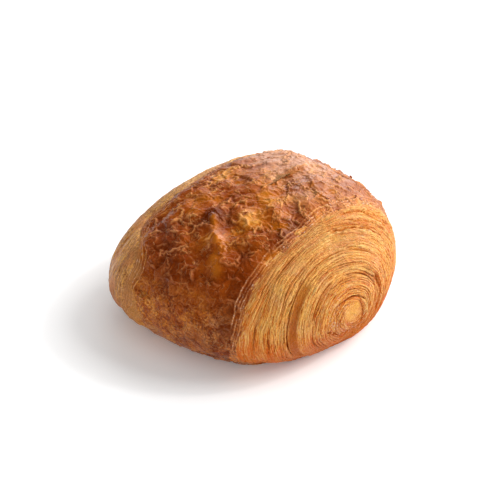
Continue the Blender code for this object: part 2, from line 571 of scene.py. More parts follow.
@dataclass(frozen=True)
class Film:
    """One thin skin of the crust that has torn, and whose torn edges have curled up.

    Attributes:
        size: How far apart its tears lie.
        ragged: How far the tears stray.
        ragged_size: Over which length they stray.
        step: How far it stands off what is under it.
        lip: How far its edge has curled up above that.
        level: How much of it is left: more where this is lower.
        seed: Which tears of this kind.
        finer: The size and the reach of its finer strays, as shares of the others'.
        tear: How wide the step at a tear is.
        broken: Over which lengths its edges come and go, round how much, and how strongly.
    """

    size: float
    ragged: float
    ragged_size: float
    step: float
    lip: float
    level: float
    seed: float
    finer: tuple[float, float] = (0.3, 0.22)
    tear: float = 0.36 * MM
    broken: tuple[tuple[float, float, float], ...] = ((7.0 * MM, 0.50, 1.5), (4.0 * MM, 0.55, 1.8))

    def lay(self, layout: Layout) -> tuple[Field, Field, Field]:
        """Works out the skin over a grid.

        Args:
            layout: The grid.

        Returns:
            Its height at each corner, how much of it is a torn edge, and how much painted shade
            lies under one.
        """
        points, (fine_size, fine_reach) = layout.points, self.finer
        strays = [
            wander(points, self.ragged_size, self.seed + k)
            + fine_reach * wander(points, fine_size * self.ragged_size, k)
            for k in (31.0, 32.0, 33.0)
        ]
        strayed = (points + self.ragged * np.stack(strays, axis=-1)) * ALONG_ROLL
        distance = layout.distance_to(wander(strayed, self.size, self.seed) - self.level)
        kept = smooth(0.5 + distance / self.tear)
        strength = np.ones_like(distance)
        for number, (size, middle, swing) in enumerate(self.broken):
            strength *= smooth(middle + swing * wander(points, size, self.seed + 9.0 + number))
        lip_at, lip_width, shade_at, shade_width = 0.30 * MM, 0.20, 0.35 * MM, 0.34 * MM
        edge = hump((distance - lip_at) / ((lip_width + lip_width * strength) * MM)) * strength
        under = hump((distance + shade_at) / shade_width) * smooth(strength * 1.5)
        return self.step * kept + self.lip * edge, edge, under


@dataclass(frozen=True)
class Ripple:
    """Fine wrinkles of the dried skin: thin crests between soft dents.

    Attributes:
        size: How far apart the crests lie.
        height: How high they stand.
        seed: Which wrinkles of this kind.
        thin: How thin the crests are.
    """

    size: float
    height: float
    seed: float
    thin: float = 3.0

    def lay(self, points: Field) -> tuple[Field, Field]:
        """Its height at each point, and how much of the point is a crest."""
        stray_size, stray_reach, mean_crest = 1.4 * self.size, 0.45 * self.size, 0.3
        strays = [wander(points, stray_size, self.seed + k) for k in (0.3, 0.6, 0.9)]
        strayed = (points + stray_reach * np.stack(strays, axis=-1)) * ALONG_ROLL
        crest = held(1.0 - self.thin * np.abs(wander(strayed, self.size, self.seed))) ** 2
        return self.height * (crest - mean_crest), crest


@dataclass(frozen=True)
class Fold:
    """One large fold of the crust, from one point to another.

    Attributes:
        start: Its first x and y, in millimetres.
        finish: Its last x and y, in millimetres.
        half_width: Half its width, in millimetres.
        height: Its height in millimetres, or its depth below nothing.
    """

    start: tuple[float, float]
    finish: tuple[float, float]
    half_width: float
    height: float

    def lay(self, points: Field) -> Field:
        """Its height at each point."""
        distance = from_line(points[..., :2], self.start, self.finish)
        above = points[..., 2] > FORM.widest_at
        return self.height * MM * hump(distance / (self.half_width * MM)) * above


@dataclass(frozen=True)
class Patch:
    """A soft round patch of the roll, where something is stronger or weaker than elsewhere.

    Attributes:
        middle: Its x, y and z, in millimetres.
        reach: How far it reaches, in millimetres.
        amount: How much it adds at its middle, or takes off where this is below nothing.
    """

    middle: tuple[float, float, float]
    reach: float
    amount: float

    def lay(self, points: Field) -> Field:
        """How much it adds at each point."""
        distance = np.linalg.norm(points - np.array(self.middle) * MM, axis=-1)
        return self.amount * hump(distance / (self.reach * MM))


@dataclass
class Raised:
    """What rises on the crust's grid, as it is worked out.

    Attributes:
        height: How far each corner stands off the smooth form.
        torn: How much of it is a pale torn edge, from 0 to 1.
        shaded: How much painted shade lies under one, and beside the rims' dried lines.
        ringed: How much of it is a dried line along a rim.
    """

    height: Field
    torn: Field
    shaded: Field
    ringed: Field


@dataclass
class Crust:
    """The browned crust round the belly, from one end's rim to the other's.

    Attributes:
        rows: How many faces it has along the roll.
        columns: How many it has round it.
        blister_size: How far apart its blisters lie.
        blister_height: How high they stand.
        mean_blister: A blister's mean height, as a share.
        base_share: How many columns its base has, as a share of its top's.
        back_from: The cosine of the angle past which the far flank is coarser.
        back_share: How many columns that has, as a share of the top's.
        parting: The angle from +Y at which its two pieces meet.
        folds: The large folds and valleys of its top.
        windows: The smooth amber windows of its outer skin.
        plum_and_sheen: Where it has a plum tinge: its own on the front, and a painted purple sheen
            on its top.
        tucks: Where it draws in above the base, in metres.
        whole: Where its outer skin hasn't torn.
        sheen_patches: Where a pale pinkish sheen is painted on its top.
        dried: Where it is drier.
        glossy: Where its egg wash is thicker.
        films: Its torn skins.
        ripples: Its wrinkles.
        patches: Where it has baked more or less.
        lip: How its edge turns in at both rims: how far back and how deep, in millimetres.
    """

    rows: int = 232
    columns: int = 584
    blister_size: float = 9.0 * MM
    blister_height: float = 0.8 * MM
    mean_blister: float = 0.5
    base_share: float = 0.18
    back_from: float = 0.62
    back_share: float = 0.55
    parting: float = math.radians(72.0)
    folds: tuple[Fold, ...] = (
        Fold((1.1, 10.6), (27.0, -8.7), 3.5, -0.9),
        Fold((-20.0, 17.0), (1.1, 10.6), 4.0, -0.6),
        Fold((-5.4, -20.2), (5.0, -28.3), 2.6, 1.2),
        Fold((5.0, -28.3), (12.5, -34.3), 3.2, 1.0),
        Fold((-19.0, 32.0), (-2.0, 26.0), 7.0, 1.3),
        Fold((-9.0, -27.0), (2.0, -38.0), 2.6, -0.9),
        Fold((3.0, -19.0), (17.0, -27.0), 2.6, -0.8),
        Fold((-18.0, -22.0), (-24.0, -36.0), 3.0, 0.8),
    )
    windows: tuple[Fold, ...] = (
        Fold((-2.1, 4.3), (2.9, 8.3), 1.5, -0.5),
        Fold((0.0, 14.3), (1.1, 20.6), 1.4, -0.5),
        Fold((12.0, 11.2), (13.2, 14.1), 1.2, -0.4),
        Fold((20.0, 10.3), (20.4, 16.5), 1.6, -0.4),
        Fold((16.0, -6.3), (18.0, -4.5), 1.4, -0.4),
        Fold((18.4, -12.9), (21.3, -9.8), 2.2, -0.5),
        Fold((-13.6, -0.7), (-11.0, 1.1), 1.5, -0.4),
        Fold((12.7, 18.6), (13.2, 22.5), 1.2, -0.4),
        Fold((5.0, -2.2), (7.8, 0.9), 1.7, -0.4),
        Fold((-15.3, -15.6), (-10.3, -13.2), 2.2, -0.3),
        Fold((9.0, -34.4), (13.5, -37.5), 2.0, 0.3),
        Fold((26.4, -25.5), (27.0, -19.4), 1.6, -0.3),
        Fold((-3.5, -21.8), (6.0, -29.0), 1.3, 0.3),
    )
    plum_and_sheen: tuple[Patch, ...] = (
        Patch((-17.0, -33.0, 40.0), 5.0, 0.5),
        Patch((-22.0, -38.0, 31.0), 5.0, 0.2),
        # Painted purple sheen on the top.
        Patch((12.0, 12.0, 52.0), 8.0, 0.6),
    )
    tucks: tuple[Patch, ...] = (
        Patch((25.0, -42.0, 1.0), 6.0, -1.5 * MM),
        Patch((14.0, -46.0, 1.0), 6.0, -0.9 * MM),
    )
    whole: tuple[Patch, ...] = (
        Patch((24.0, -32.0, 38.0), 12.0, 0.65),
        Patch((8.0, -42.0, 28.0), 12.0, 0.55),
        Patch((-18.0, -44.0, 28.0), 12.0, 0.45),
    )
    # Painted sheen: pale pinkish patches that stand in for the top's glossy reflection.
    sheen_patches: tuple[Patch, ...] = (
        Patch((-14.0, 26.0, 47.0), 14.0, 0.95),
        Patch((-24.0, 33.0, 42.0), 9.0, 0.4),
        Patch((4.0, 29.0, 50.0), 12.0, 0.65),
        Patch((24.0, 25.0, 48.0), 12.0, 0.25),
        Patch((-28.0, 24.0, 42.0), 8.0, 0.45),
        Patch((-3.0, 11.0, 51.0), 6.0, 0.35),
        Patch((16.0, 6.0, 51.0), 6.0, 0.35),
        Patch((5.4, -12.8, 49.4), 2.5, 0.25),
    )
    dried: tuple[Patch, ...] = (
        Patch((-20.0, -50.0, 8.0), 12.0, 1.4),
        Patch((-4.0, -49.0, 5.0), 7.0, 0.6),
    )
    glossy: tuple[Patch, ...] = (
        Patch((-5.0, -21.0, 47.0), 5.0, 0.55),
        Patch((8.0, -27.5, 45.0), 5.0, 0.7),
        Patch((20.4, -8.6, 49.8), 6.0, 0.5),
        Patch((12.0, 14.0, 52.0), 14.0, 0.7),
        Patch((26.0, -22.0, 43.0), 8.0, 0.4),
        Patch((-17.0, -33.0, 40.0), 6.0, 0.4),
    )
    films: tuple[Film, ...] = (
        Film(8.0 * MM, 2.0 * MM, 3.4 * MM, 0.40 * MM, 0.56 * MM, 0.02, 61.0),
        Film(6.0 * MM, 1.5 * MM, 2.6 * MM, 0.28 * MM, 0.50 * MM, -0.05, 71.0),
        Film(4.8 * MM, 1.2 * MM, 2.2 * MM, 0.12 * MM, 0.34 * MM, 0.06, 81.0),
    )
    ripples: tuple[Ripple, ...] = (
        Ripple(5.5 * MM, 0.26 * MM, 101.0, 2.4),
        Ripple(4.4 * MM, 0.20 * MM, 105.0, 4.5),
        Ripple(2.6 * MM, 0.05 * MM, 103.0, 3.5),
    )
    patches: tuple[Patch, ...] = (
        Patch((-12.0, -42.0, 33.0), 15.0, 0.12),
        Patch((22.0, -33.0, 38.0), 11.0, 0.16),
        Patch((10.0, -33.0, 42.0), 6.0, -0.16),
        Patch((8.0, -51.0, 21.0), 8.0, 0.15),
        Patch((20.0, -48.0, 20.0), 9.0, 0.12),
        Patch((-8.0, -49.0, 16.0), 12.0, -0.14),
        Patch((-1.5, -20.0, 47.0), 5.0, 0.34),
        Patch((18.0, -25.0, 44.0), 8.0, 0.04),
        Patch((28.0, -38.0, 32.0), 5.0, -0.20),
        Patch((29.0, -26.0, 41.0), 6.0, -0.08),
        Patch((21.0, -10.0, 49.0), 5.0, 0.25),
        Patch((-16.0, -20.0, 45.0), 12.0, 0.08),
        Patch((5.0, -42.0, 25.0), 12.0, 0.10),
        Patch((8.0, -1.0, 51.0), 9.0, -0.34),
        Patch((0.0, 10.0, 51.0), 8.0, -0.15),
        Patch((-24.0, 32.0, 42.0), 9.0, -0.45),
        Patch((12.0, -51.0, 9.0), 10.0, 0.02),
        Patch((-25.0, -38.0, 31.0), 9.0, -0.28),
        Patch((-20.0, -50.0, 9.0), 14.0, -0.20),
        Patch((24.0, 22.0, 49.0), 15.0, -0.22),
        Patch((-8.0, 22.0, 50.0), 12.0, -0.40),
        Patch((5.4, -12.8, 49.4), 4.0, -0.30),
        Patch((-6.0, -24.0, 45.0), 5.0, 0.35),
        Patch((10.4, -15.7, 48.8), 5.0, -0.34),
        Patch((17.7, -10.8, 49.7), 4.0, -0.25),
        Patch((-20.0, 3.0, 47.6), 6.0, -0.38),
        Patch((-3.0, 11.3, 51.0), 6.0, -0.28),
        Patch((14.7, 4.0, 51.0), 6.0, -0.14),
        Patch((22.0, -40.0, 34.0), 6.0, -0.12),
        Patch((25.3, -44.0, 27.0), 6.0, 0.2),
        Patch((20.6, -48.8, 16.5), 7.0, 0.2),
    )
    lip: tuple[tuple[float, float], ...] = (
        (-3.2, -2.0),
        (-1.4, -1.1),
        (-0.5, -0.62),
        (-0.05, -0.38),
        (0.05, -0.14),
    )

    def angles(self) -> Field:
        """The angles of the columns: evenly spread, and sparser on the base and the far flank."""
        samples = 4000
        turn = np.linspace(-math.pi / 2.0, 1.5 * math.pi, samples)
        section = FORM.point(np.zeros_like(turn), np.ones_like(turn), turn)
        steps = np.linalg.norm(np.diff(section, axis=0), axis=-1)
        steps[section[1:, 2] < 0.0] *= self.base_share
        steps[np.cos(turn[1:]) > self.back_from] *= self.back_share
        length = np.concatenate(((0.0,), np.cumsum(steps)))
        return np.interp(np.linspace(0.0, length[-1], self.columns + 1), length, turn)

    def lay_out(self) -> tuple[Field, Layout]:
        """Sets out the grid on the smooth form.

        Returns:
            The angle of each column, and the corners' layout.
        """
        angle = self.angles()
        near, far = NEAR_RIM.x(angle), FAR_RIM.x(angle)
        count = len(self.lip)
        share = np.linspace(0.0, 1.0, self.rows + 1 - 2 * count)[:, None]
        top = near + (far - near) * share
        inset = np.array([back for back, _ in self.lip])[:, None] * MM
        x = np.concatenate((near + inset, top, far - inset[::-1]))
        around = np.broadcast_to(angle, x.shape)
        points = FORM.point(x, FORM.share_at(x), around)
        return angle, Layout(points, FORM.outward_on_belly(x, around))

    def from_rims(self, layout: Layout) -> tuple[Field, Field]:
        """How far each corner is along the surface from the near rim and from the far one."""
        steps = np.linalg.norm(np.diff(layout.points, axis=0), axis=-1)
        count = len(self.lip)
        steps[:count] = 0.0
        steps[-count:] = 0.0
        from_near = np.concatenate((np.zeros((1, steps.shape[1])), np.cumsum(steps, axis=0)))
        return from_near, from_near[-1] - from_near

    def relief(self, layout: Layout) -> Raised:
        """Raises the crust: swells, blisters, folds, torn skins and the stepped rims.

        Args:
            layout: The grid on the smooth form.

        Returns:
            What has risen.
        """
        points = layout.points
        near, far = self.from_rims(layout)
        flank, flank_to_top, rim_band, window_calm = 22.0 * MM, 16.0 * MM, 9.0 * MM, 0.85
        lively = 0.5 + 0.5 * rise(points[..., 2], flank, flank_to_top)
        calm = lively * (0.35 + 0.65 * smooth(np.minimum(near, far) / rim_band))
        height = FORM.swell(points)
        coarse = 2.0 * np.abs(wander(points, self.blister_size, 7.0)) - self.mean_blister
        height += self.blister_height * coarse * calm
        raised = Raised(height, *(np.zeros_like(height) for _ in range(3)))
        self.wrinkle(raised, layout, calm, lively)
        for shape in self.folds + self.windows + self.tucks:
            raised.height += shape.lay(points)
        smoothed = (1.0 - window_calm * self.amber(points)) * self.edged(points)
        raised.torn *= smoothed
        raised.shaded *= smoothed
        self.line_rim(raised, points, NEAR_RIM, near, 91.0)
        self.line_rim(raised, points, FAR_RIM, far, 95.0)
        return raised

    def wrinkle(self, raised: Raised, layout: Layout, calm: Field, lively: Field) -> None:
        """Adds the wrinkles and the torn skins.

        Args:
            raised: What has risen so far.
            layout: The grid on the smooth form.
            calm: How high they stand at each corner, as a share.
            lively: How strongly they show there.
        """
        broken_over, most_worn = 6.0 * MM, 0.3
        for ripple in self.ripples:
            lifted, crest = ripple.lay(layout.points)
            raised.height += lifted * calm
            broken = held(0.2 + 1.6 * wander(layout.points, broken_over, ripple.seed + 2.0))
            worn = most_worn * rise(crest, 0.5, 0.5) * broken * lively
            raised.torn = np.maximum(raised.torn, worn)
        for film in self.films:
            lifted, edge, under = film.lay(layout)
            raised.height += (lifted - 0.5 * film.step) * calm
            raised.torn = np.maximum(raised.torn, edge * lively)
            raised.shaded = np.maximum(raised.shaded, under * lively)

    def line_rim(
        self, raised: Raised, points: Field, rim: Rim, from_rim: Field, seed: float
    ) -> None:
        """Adds the dried lines and small steps along one rim.

        Args:
            raised: What has risen so far.
            points: The corners' places on the smooth form.
            rim: The rim.
            from_rim: How far each corner is from it.
            seed: Which lines of this kind.
        """
        width, step, lift = 0.22 * MM, 0.14 * MM, 0.20 * MM
        stray_size, broken_over = 7.0 * MM, 6.0 * MM
        strayed = from_rim + rim.stray * wander(points, stray_size, seed)
        for number, place in enumerate(rim.rings):
            past = (strayed - place) / width
            strength = held(0.65 + 1.5 * wander(points, broken_over, seed + 3.0 * number))
            edge = hump(past - 0.8) * strength * (from_rim > 0.0)
            raised.height += step * (smooth(past + 0.5) - 1.0)
            raised.height += lift * edge
            raised.ringed = np.maximum(raised.ringed, edge)
            # Painted shade beside each dried line, on its rim side.
            raised.shaded = np.maximum(raised.shaded, hump(past + 1.0) * strength)

    def edged(self, points: Field) -> Field:
        """How freely the outer skin has torn at each point, from 0 to 1."""
        return held(1.0 - laid(self.whole, points))

    def amber(self, points: Field) -> Field:
        """How far each point lies in a smooth amber window of the outer skin, from 0 to 1."""
        return held(sum(window.lay(points) / (window.height * MM) for window in self.windows))

    def dryness(self, points: Field, far: Field) -> Field:
        """How dry and tan each point is: near the far rim, and where the crust meets the base."""
        narrow, wider = 2.5, 5.5
        low = 1.0 - rise(points[..., 2], 26.0 * MM, 8.0 * MM)
        width = (narrow + wider * low) * MM
        amount = 1.15 - far / width + 0.9 * wander(points, 7.0 * MM, 98.0)
        return smooth(amount + laid(self.dried, points))

    def bake_and_shade(self, points: Field, hollow: Field) -> Field:
        """How dark the crust has baked at each point, from 0 to 1, with its hollows browner and
        painted darker as shade.
        """
        amount = 0.5 + 0.35 * wander(points, 17.0 * MM, 41.0)
        amount += 0.25 * wander(points, 6.0 * MM, 43.0)
        # The hollows' share is partly a browner bake and partly painted shade.
        return amount + laid(self.patches, points) + 0.15 * hollow

    def build(self) -> tuple[list[bpy.types.Object], Field]:
        """Makes the crust.

        Returns:
            Its two pieces, and the places of all corners on their grid.
        """
        angle, layout = self.lay_out()
        raised = self.relief(layout)
        height, count = raised.height, len(self.lip)
        drop = np.array([down for _, down in self.lip])[:, None] * MM
        curl_height, curl_reach, hollow_reach, hollow_depth = 0.18 * MM, 1.2 * MM, 9, 1.1 * MM
        curl = curl_height * (0.6 + wander(layout.points, 6.0 * MM, 97.0))
        near, far = self.from_rims(layout)
        height += curl * (hump(near / curl_reach) + hump(far / curl_reach))
        height[:count] = height[count] + drop
        height[-count:] = height[-count - 1] + drop[::-1]
        points = layout.points + layout.outward * height[..., None]
        # Hollows lie lower than the crust round about; the finish darkens them as painted shade.
        hollow = smooth((softened(height, hollow_reach) - height) / hollow_depth)
        painted = self.painted(layout.points, raised, hollow, (near, far))
        parting = int(np.argmin(np.abs(angle - self.parting)))
        border = np.zeros(height.shape, dtype=bool)
        border[:, parting] = True
        skin = Skin(points, facing(points, layout.outward), border, painted)
        back = skin.piece("crust_back", np.s_[:, : parting + 1])
        front = skin.piece("crust_front", np.s_[:, parting:])
        return [back, front], points

    def painted(
        self, points: Field, raised: Raised, hollow: Field, from_rims: tuple[Field, Field]
    ) -> dict[str, Field]:
        """Gathers what the finish reads at each corner.

        Args:
            points: The corners' places on the smooth form.
            raised: What has risen there.
            hollow: How much of each corner lies in a hollow, which is painted darker as shade.
            from_rims: How far it is from the near rim and from the far one.

        Returns:
            One value a corner, by name.
        """
        near, far = from_rims
        return {
            "torn": raised.torn,
            "shaded": raised.shaded,
            "ringed": raised.ringed,
            "hollow": hollow,
            "bake_and_shade": self.bake_and_shade(points, hollow),
            "gloss": laid(self.glossy, points),
            "plum_and_sheen": laid(self.plum_and_sheen, points),
            "amber": self.amber(points),
            "rim": hump(near / (2.2 * MM)),
            "dry": self.dryness(points, far),
            "painted_sheen": laid(self.sheen_patches, points),
            "edged": self.edged(points),
            "grain": 1.0 - rise(points[..., 2], 20.0 * MM, 18.0 * MM),
        }


@dataclass(frozen=True)
class Winding:
    """Where the corners of a wound end's grid lie along its spiral.

    Attributes:
        points: Their places on the smooth form.
        strip: Which strip of the winding each is on, in wraps.
        size: The size of its turn, as a share of the belly's section.
        angle: Its angle from +Y.
        turns: How many turns out from the core it is.
        wrap_width: How wide one wrap is there.
        seed: Which layers of this kind.
    """

    points: Field
    strip: Field
    size: Field
    angle: Field
    turns: Field
    wrap_width: Field
    seed: float

    @property
    def within_wrap(self) -> Field:
        """How far through its wrap each corner is, from 0 to 1."""
        return self.strip % 1.0

    def strand(self, length: float, level: Field | float, seed: float) -> Field:
        """Noise that is long along a turn, and that differs from layer to layer.

        Args:
            length: How long its streaks are.
            level: Which layer each corner is on.
            seed: Which noise of this kind.

        Returns:
            One value a corner, from -1 to 1.
        """
        across, above = self.points[..., 1] / length, self.points[..., 2] / length
        places = np.stack((across, above, level + 1.5 * self.turns), axis=-1)
        return wander(places, 1.0, seed + self.seed)


@dataclass(frozen=True)
class Seam:
    """A line of a wound end that follows its winding for a while.

    Attributes:
        wrap: Which strip of the winding, counted in wraps from the core.
        start: The first angle from +Y, in degrees.
        finish: The last angle, in degrees.
        half_width: Half its width, in millimetres.
        depth: How deep it is in millimetres, or how high where it is below nothing.
        wave: How far it waves to and fro, in millimetres.
        ribs: How high the fine ribs across it stand, in millimetres.
    """

    wrap: float
    start: float
    finish: float
    half_width: float
    depth: float
    wave: float = 0.0
    ribs: float = 0.0

    def lay(self, winding: Winding) -> tuple[Field, Field]:
        """Works out the seam along a winding.

        Args:
            winding: The winding.

        Returns:
            The seam's profile at each corner, and how much it flattens what was there.
        """
        ease, turned_back, flat_part, wide_from, stray = 8.0, 20.0, 0.6, 0.6, 0.25 * MM
        degrees = np.degrees(winding.angle)
        before = (degrees > self.finish + turned_back) & (self.start < 0.0)
        degrees = np.where(before, degrees - 360.0, degrees)
        place = np.where(before, winding.strip + 1.0, winding.strip)
        away = (place - self.wrap) * winding.wrap_width
        if self.wave:
            away = away + self.wave * MM * winding.strand(2.6 * MM, 0.0, 33.0)
        if self.depth < 0.0:
            away = away + stray * winding.strand(3.0 * MM, self.wrap, 34.0)
        along = rise(degrees, self.start, ease) * smooth((self.finish - degrees) / ease)
        across = np.abs(away) / (self.half_width * MM)
        profile = (1.0 - rise(across, flat_part, flat_part)) * along
        if self.depth < 0.0:
            profile *= held(0.5 + 1.5 * winding.strand(2.4 * MM, self.wrap, 35.0))
        wide = self.half_width > wide_from
        return profile, profile if wide else np.zeros_like(profile)


@dataclass(frozen=True)
class Crease:
    """A crease of a wound end that runs its own way across the layers.

    Attributes:
        course: The y and z it runs through, in millimetres.
        half_width: Half its width, in millimetres.
        depth: How deep it is in millimetres, or how high where it is below nothing.
    """

    course: tuple[tuple[float, float], ...]
    half_width: float
    depth: float

    def lay(self, points: Field) -> Field:
        """How much of each point is in the crease, from 0 to 1."""
        lines = zip(self.course, self.course[1:])
        nearest = np.minimum.reduce([from_line(points[..., 1:], *line) for line in lines])
        return hump(nearest / (self.half_width * MM))


@dataclass
class Layered:
    """What rises on a wound end's grid, as it is worked out.

    Attributes:
        height: How far each corner stands off the smooth form.
        lip: How much of it is a layer's pale edge, from 0 to 1.
        hollow: How much of it lies in a crevice, a gap or a crease, which is painted darker as
            shade.
        smoothed: How much of it a wide seam has flattened.
    """

    height: Field
    lip: Field
    hollow: Field
    smoothed: Field

    def fade(self, share: Field) -> None:
        """Takes this share off the lips and the crevices."""
        self.lip = self.lip * (1.0 - share)
        self.hollow = self.hollow * (1.0 - share)

    def mark(self, shape: Field, depth: float) -> None:
        """Marks a line as a crevice, or as a lip where its depth is below nothing."""
        if depth > 0.0:
            self.hollow = np.maximum(self.hollow, shape * min(1.0, depth))
        else:
            self.lip = np.maximum(self.lip, shape)


@dataclass
class WoundEnd:
    """One cut end of the roll: layers of dough, wound in one spiral round the core.

    The rows of its grid follow the spiral, so a row at the end of a turn is one wrap further
    out than at its start, where it meets the row that many further on.

    Attributes:
        name: The piece's name.
        rim: The crust's rim round it.
        rows_per_wrap: How many rows of faces one wrap of the dough has.
        segments: How many faces there are in one turn.
        seams: Lines of its own.
        creases: Creases of its own.
        seed: Which layers of this kind.
        parting: The strip of the winding at which its inner piece ends, in wraps.
        pitch: How much larger each turn is than the one inside it.
        gap_at: The part of a wrap by which the strips are counted later than the turns.
        reach: The size of its last turn.
        layers_per_wrap: How many layers of dough one wrap shows.
        rim_drop: How far its outer turns lie lower.
        tucked: How far it goes under the crust's rim.
        lively: How strongly its layers part.
        toasting_and_shade: How much darker its outer turns are: baked darker, and with painted
            shade on the -Y side, away from the key light.
        tucks: Where it draws in as a whole.
        lighter: Where its layers are paler.
        core_size: The size of the smooth core.
        rib_pitch: How far apart the ribs across a seam lie.
        strays: How long the layers' strays are, how fast they change, how far, and which they are.
    """

    name: str
    rim: Rim
    rows_per_wrap: int
    segments: int
    seams: tuple[Seam, ...] = ()
    creases: tuple[Crease, ...] = ()
    seed: float = 0.0
    parting: float = 1.125
    pitch: float = 0.196
    gap_at: float = 0.642
    reach: float = 0.93
    layers_per_wrap: int = 8
    rim_drop: float = 0.35 * MM
    tucked: float = 0.8 * MM
    lively: float = 1.0
    toasting_and_shade: float = 0.8
    tucks: tuple[Crease, ...] = ()
    lighter: tuple[Patch, ...] = ()
    core_size: float = 0.075
    rib_pitch: float = 0.95 * MM
    strays: tuple[tuple[float, float, float, float], ...] = (
        (14.0 * MM, 2.0, 0.9, 21.0),
        (4.5 * MM, 3.0, 0.35, 22.0),
        (1.6 * MM, 6.0, 0.17, 20.0),
    )

    @property
    def end(self) -> RollEnd:
        """The end that it closes."""
        return self.rim.end

    def covered(self, share: Field, heading: Field) -> Field:
        """How far each point is under the crust, from 0 to 1."""
        samples, before, over = 721, 0.012, 0.03
        turns = np.linspace(-math.pi / 2.0, 1.5 * math.pi, samples)
        edge = np.interp(heading, turns, FORM.share_at(self.rim.x(turns)), period=math.tau)
        return smooth((share - edge + before) / over)

    def build(self) -> list[bpy.types.Object]:
        """Makes the end.

        Returns:
            Its inner and its outer piece.
        """
        rows = math.ceil(self.rows_per_wrap * (self.reach / self.pitch + 1.0))
        turn = np.linspace(0.0, 1.0, self.segments + 1)[None, :]
        row = np.arange(rows + 1)[:, None]
        size = np.clip(self.pitch * (row / self.rows_per_wrap + turn - 1.0), 0.0, self.reach)
        angle = np.broadcast_to(math.tau * turn, size.shape)
        strip = np.broadcast_to(row / self.rows_per_wrap - 1.0 - self.gap_at, size.shape)
        y, z = FORM.turn_of_dough(self.end, size, angle)
        x, share, heading = FORM.on_dome(self.end, y, z)
        layout = Layout(
            FORM.point(x, share, heading), FORM.outward_on_dome(self.end, x, share, heading)
        )
        narrowest, blur = 2.0 * MM, 4
        row_step = softened(spacing(layout.points, 0), blur)
        wrap_width = np.maximum(row_step * self.rows_per_wrap, narrowest)
        turns = size / self.pitch
        winding = Winding(layout.points, strip, size, angle, turns, wrap_width, self.seed)
        height, painted = self.relief(winding)
        height = height - self.tucked * self.covered(share, heading)
        points = layout.points + layout.outward * height[..., None]
        outward = facing(points, layout.outward)
        wrap = self.rows_per_wrap
        joined = unit(outward[:-wrap, -1] + outward[wrap:, 0])
        outward[:-wrap, -1], outward[wrap:, 0] = joined, joined
        row = round(wrap * (self.parting + 1.0 + self.gap_at))
        border = np.zeros(size.shape, dtype=bool)
        border[row] = True
        border[row - wrap : row, -1] = True
        border[row : row + wrap, 0] = True
        skin = Skin(points, outward, border, painted)
        inner = skin.piece(f"{self.name}_inner", np.s_[: row + 1, :])
        outer = skin.piece(f"{self.name}_outer", np.s_[row:, :])
        return [inner, outer]

    def relief(self, winding: Winding) -> tuple[Field, dict[str, Field]]:
        """Raises the layers, the seams and the creases.

        Args:
            winding: Where the corners lie.

        Returns:
            The height at each corner, and what the finish reads, by name.
        """
        points, size, angle = winding.points, winding.size, winding.angle
        fine = winding.strand(6.0 * MM, winding.within_wrap * 30.0, 25.0)
        finer = winding.strand(1.5 * MM, winding.within_wrap * 50.0, 26.0)
        layered, layer = self.part_layers(winding, fine, finer)
        self.draw_seams(layered, winding, fine)
        core_edge, core_stray, core_calm = 0.05, 0.03, 0.7
        strayed = size - self.core_size + core_stray * wander(points, 4.0 * MM, 13.0)
        core = 1.0 - smooth(strayed / core_edge)
        layered.fade(core)
        creased = np.zeros_like(size)
        for crease in self.creases:
            shape = crease.lay(points)
            creased -= crease.depth * MM * shape
            layered.mark(shape, crease.depth)
        fade = np.minimum(1.0, winding.turns) * (1.0 - core_calm * core)
        ragged = 0.14 * MM * wander(points, 1.5 * MM, 15.0)
        ragged = ragged + 0.25 * MM * wander(points, 9.0 * MM, 11.0)
        height = FORM.swell(points) + fade * (layered.height + ragged)
        for tuck in self.tucks:
            height -= tuck.depth * MM * tuck.lay(points)
        height += creased - self.rim_drop * size**4
        tone = 0.5 + 0.9 * winding.strand(20.0 * MM, layer * 2.3 + 9.0, 29.0)
        painted = {
            "lip": layered.lip,
            # Crevices, gaps and creases, which the finish paints darker as shade.
            "hollow": layered.hollow,
            "tone": tone + laid(self.lighter, points),
            "grain": 0.5 + (0.7 * fine + 0.5 * finer) * (1.0 - core),
            # Outer turns baked darker, and painted shade on the -Y side, away from the key light.
            "toast_and_shade": self.toasting_and_shade * rise(size, 0.66, 0.24) * (0.62 - 0.38 * np.cos(angle)),
            "wave": 0.5 + 0.5 * np.cos(math.tau * winding.strip),
            "swing": 0.5 + 0.5 * np.sin(math.tau * winding.strip),
            "core": core,
            # Where the painted glints gather: in a ring round the core, more on one side.
            "glint_zone": hump((size - 0.20) / 0.11) * (0.55 - 0.45 * np.cos(angle - 0.6)),
            "smooth": layered.smoothed,
        }
        return height, painted

    def part_layers(self, winding: Winding, fine: Field, finer: Field) -> tuple[Layered, Field]:
        """Rounds the layers, and opens the crevices and the wraps' gaps between them.

        Args:
            winding: Where the corners lie.
            fine: Fine noise along the layers.
            finer: The same, finer.

        Returns:
            What has risen, and which layer each corner is on.
        """
        within_wrap, wrap_width = winding.within_wrap, winding.wrap_width
        shifted = self.layers_per_wrap * within_wrap
        for length, pace, reach, seed in self.strays:
            shifted = shifted + reach * winding.strand(length, pace * within_wrap, seed)
        layer = np.floor(shifted)
        within = shifted - layer
        layer_width = wrap_width / self.layers_per_wrap
        from_border = np.minimum(within, 1.0 - within) * layer_width

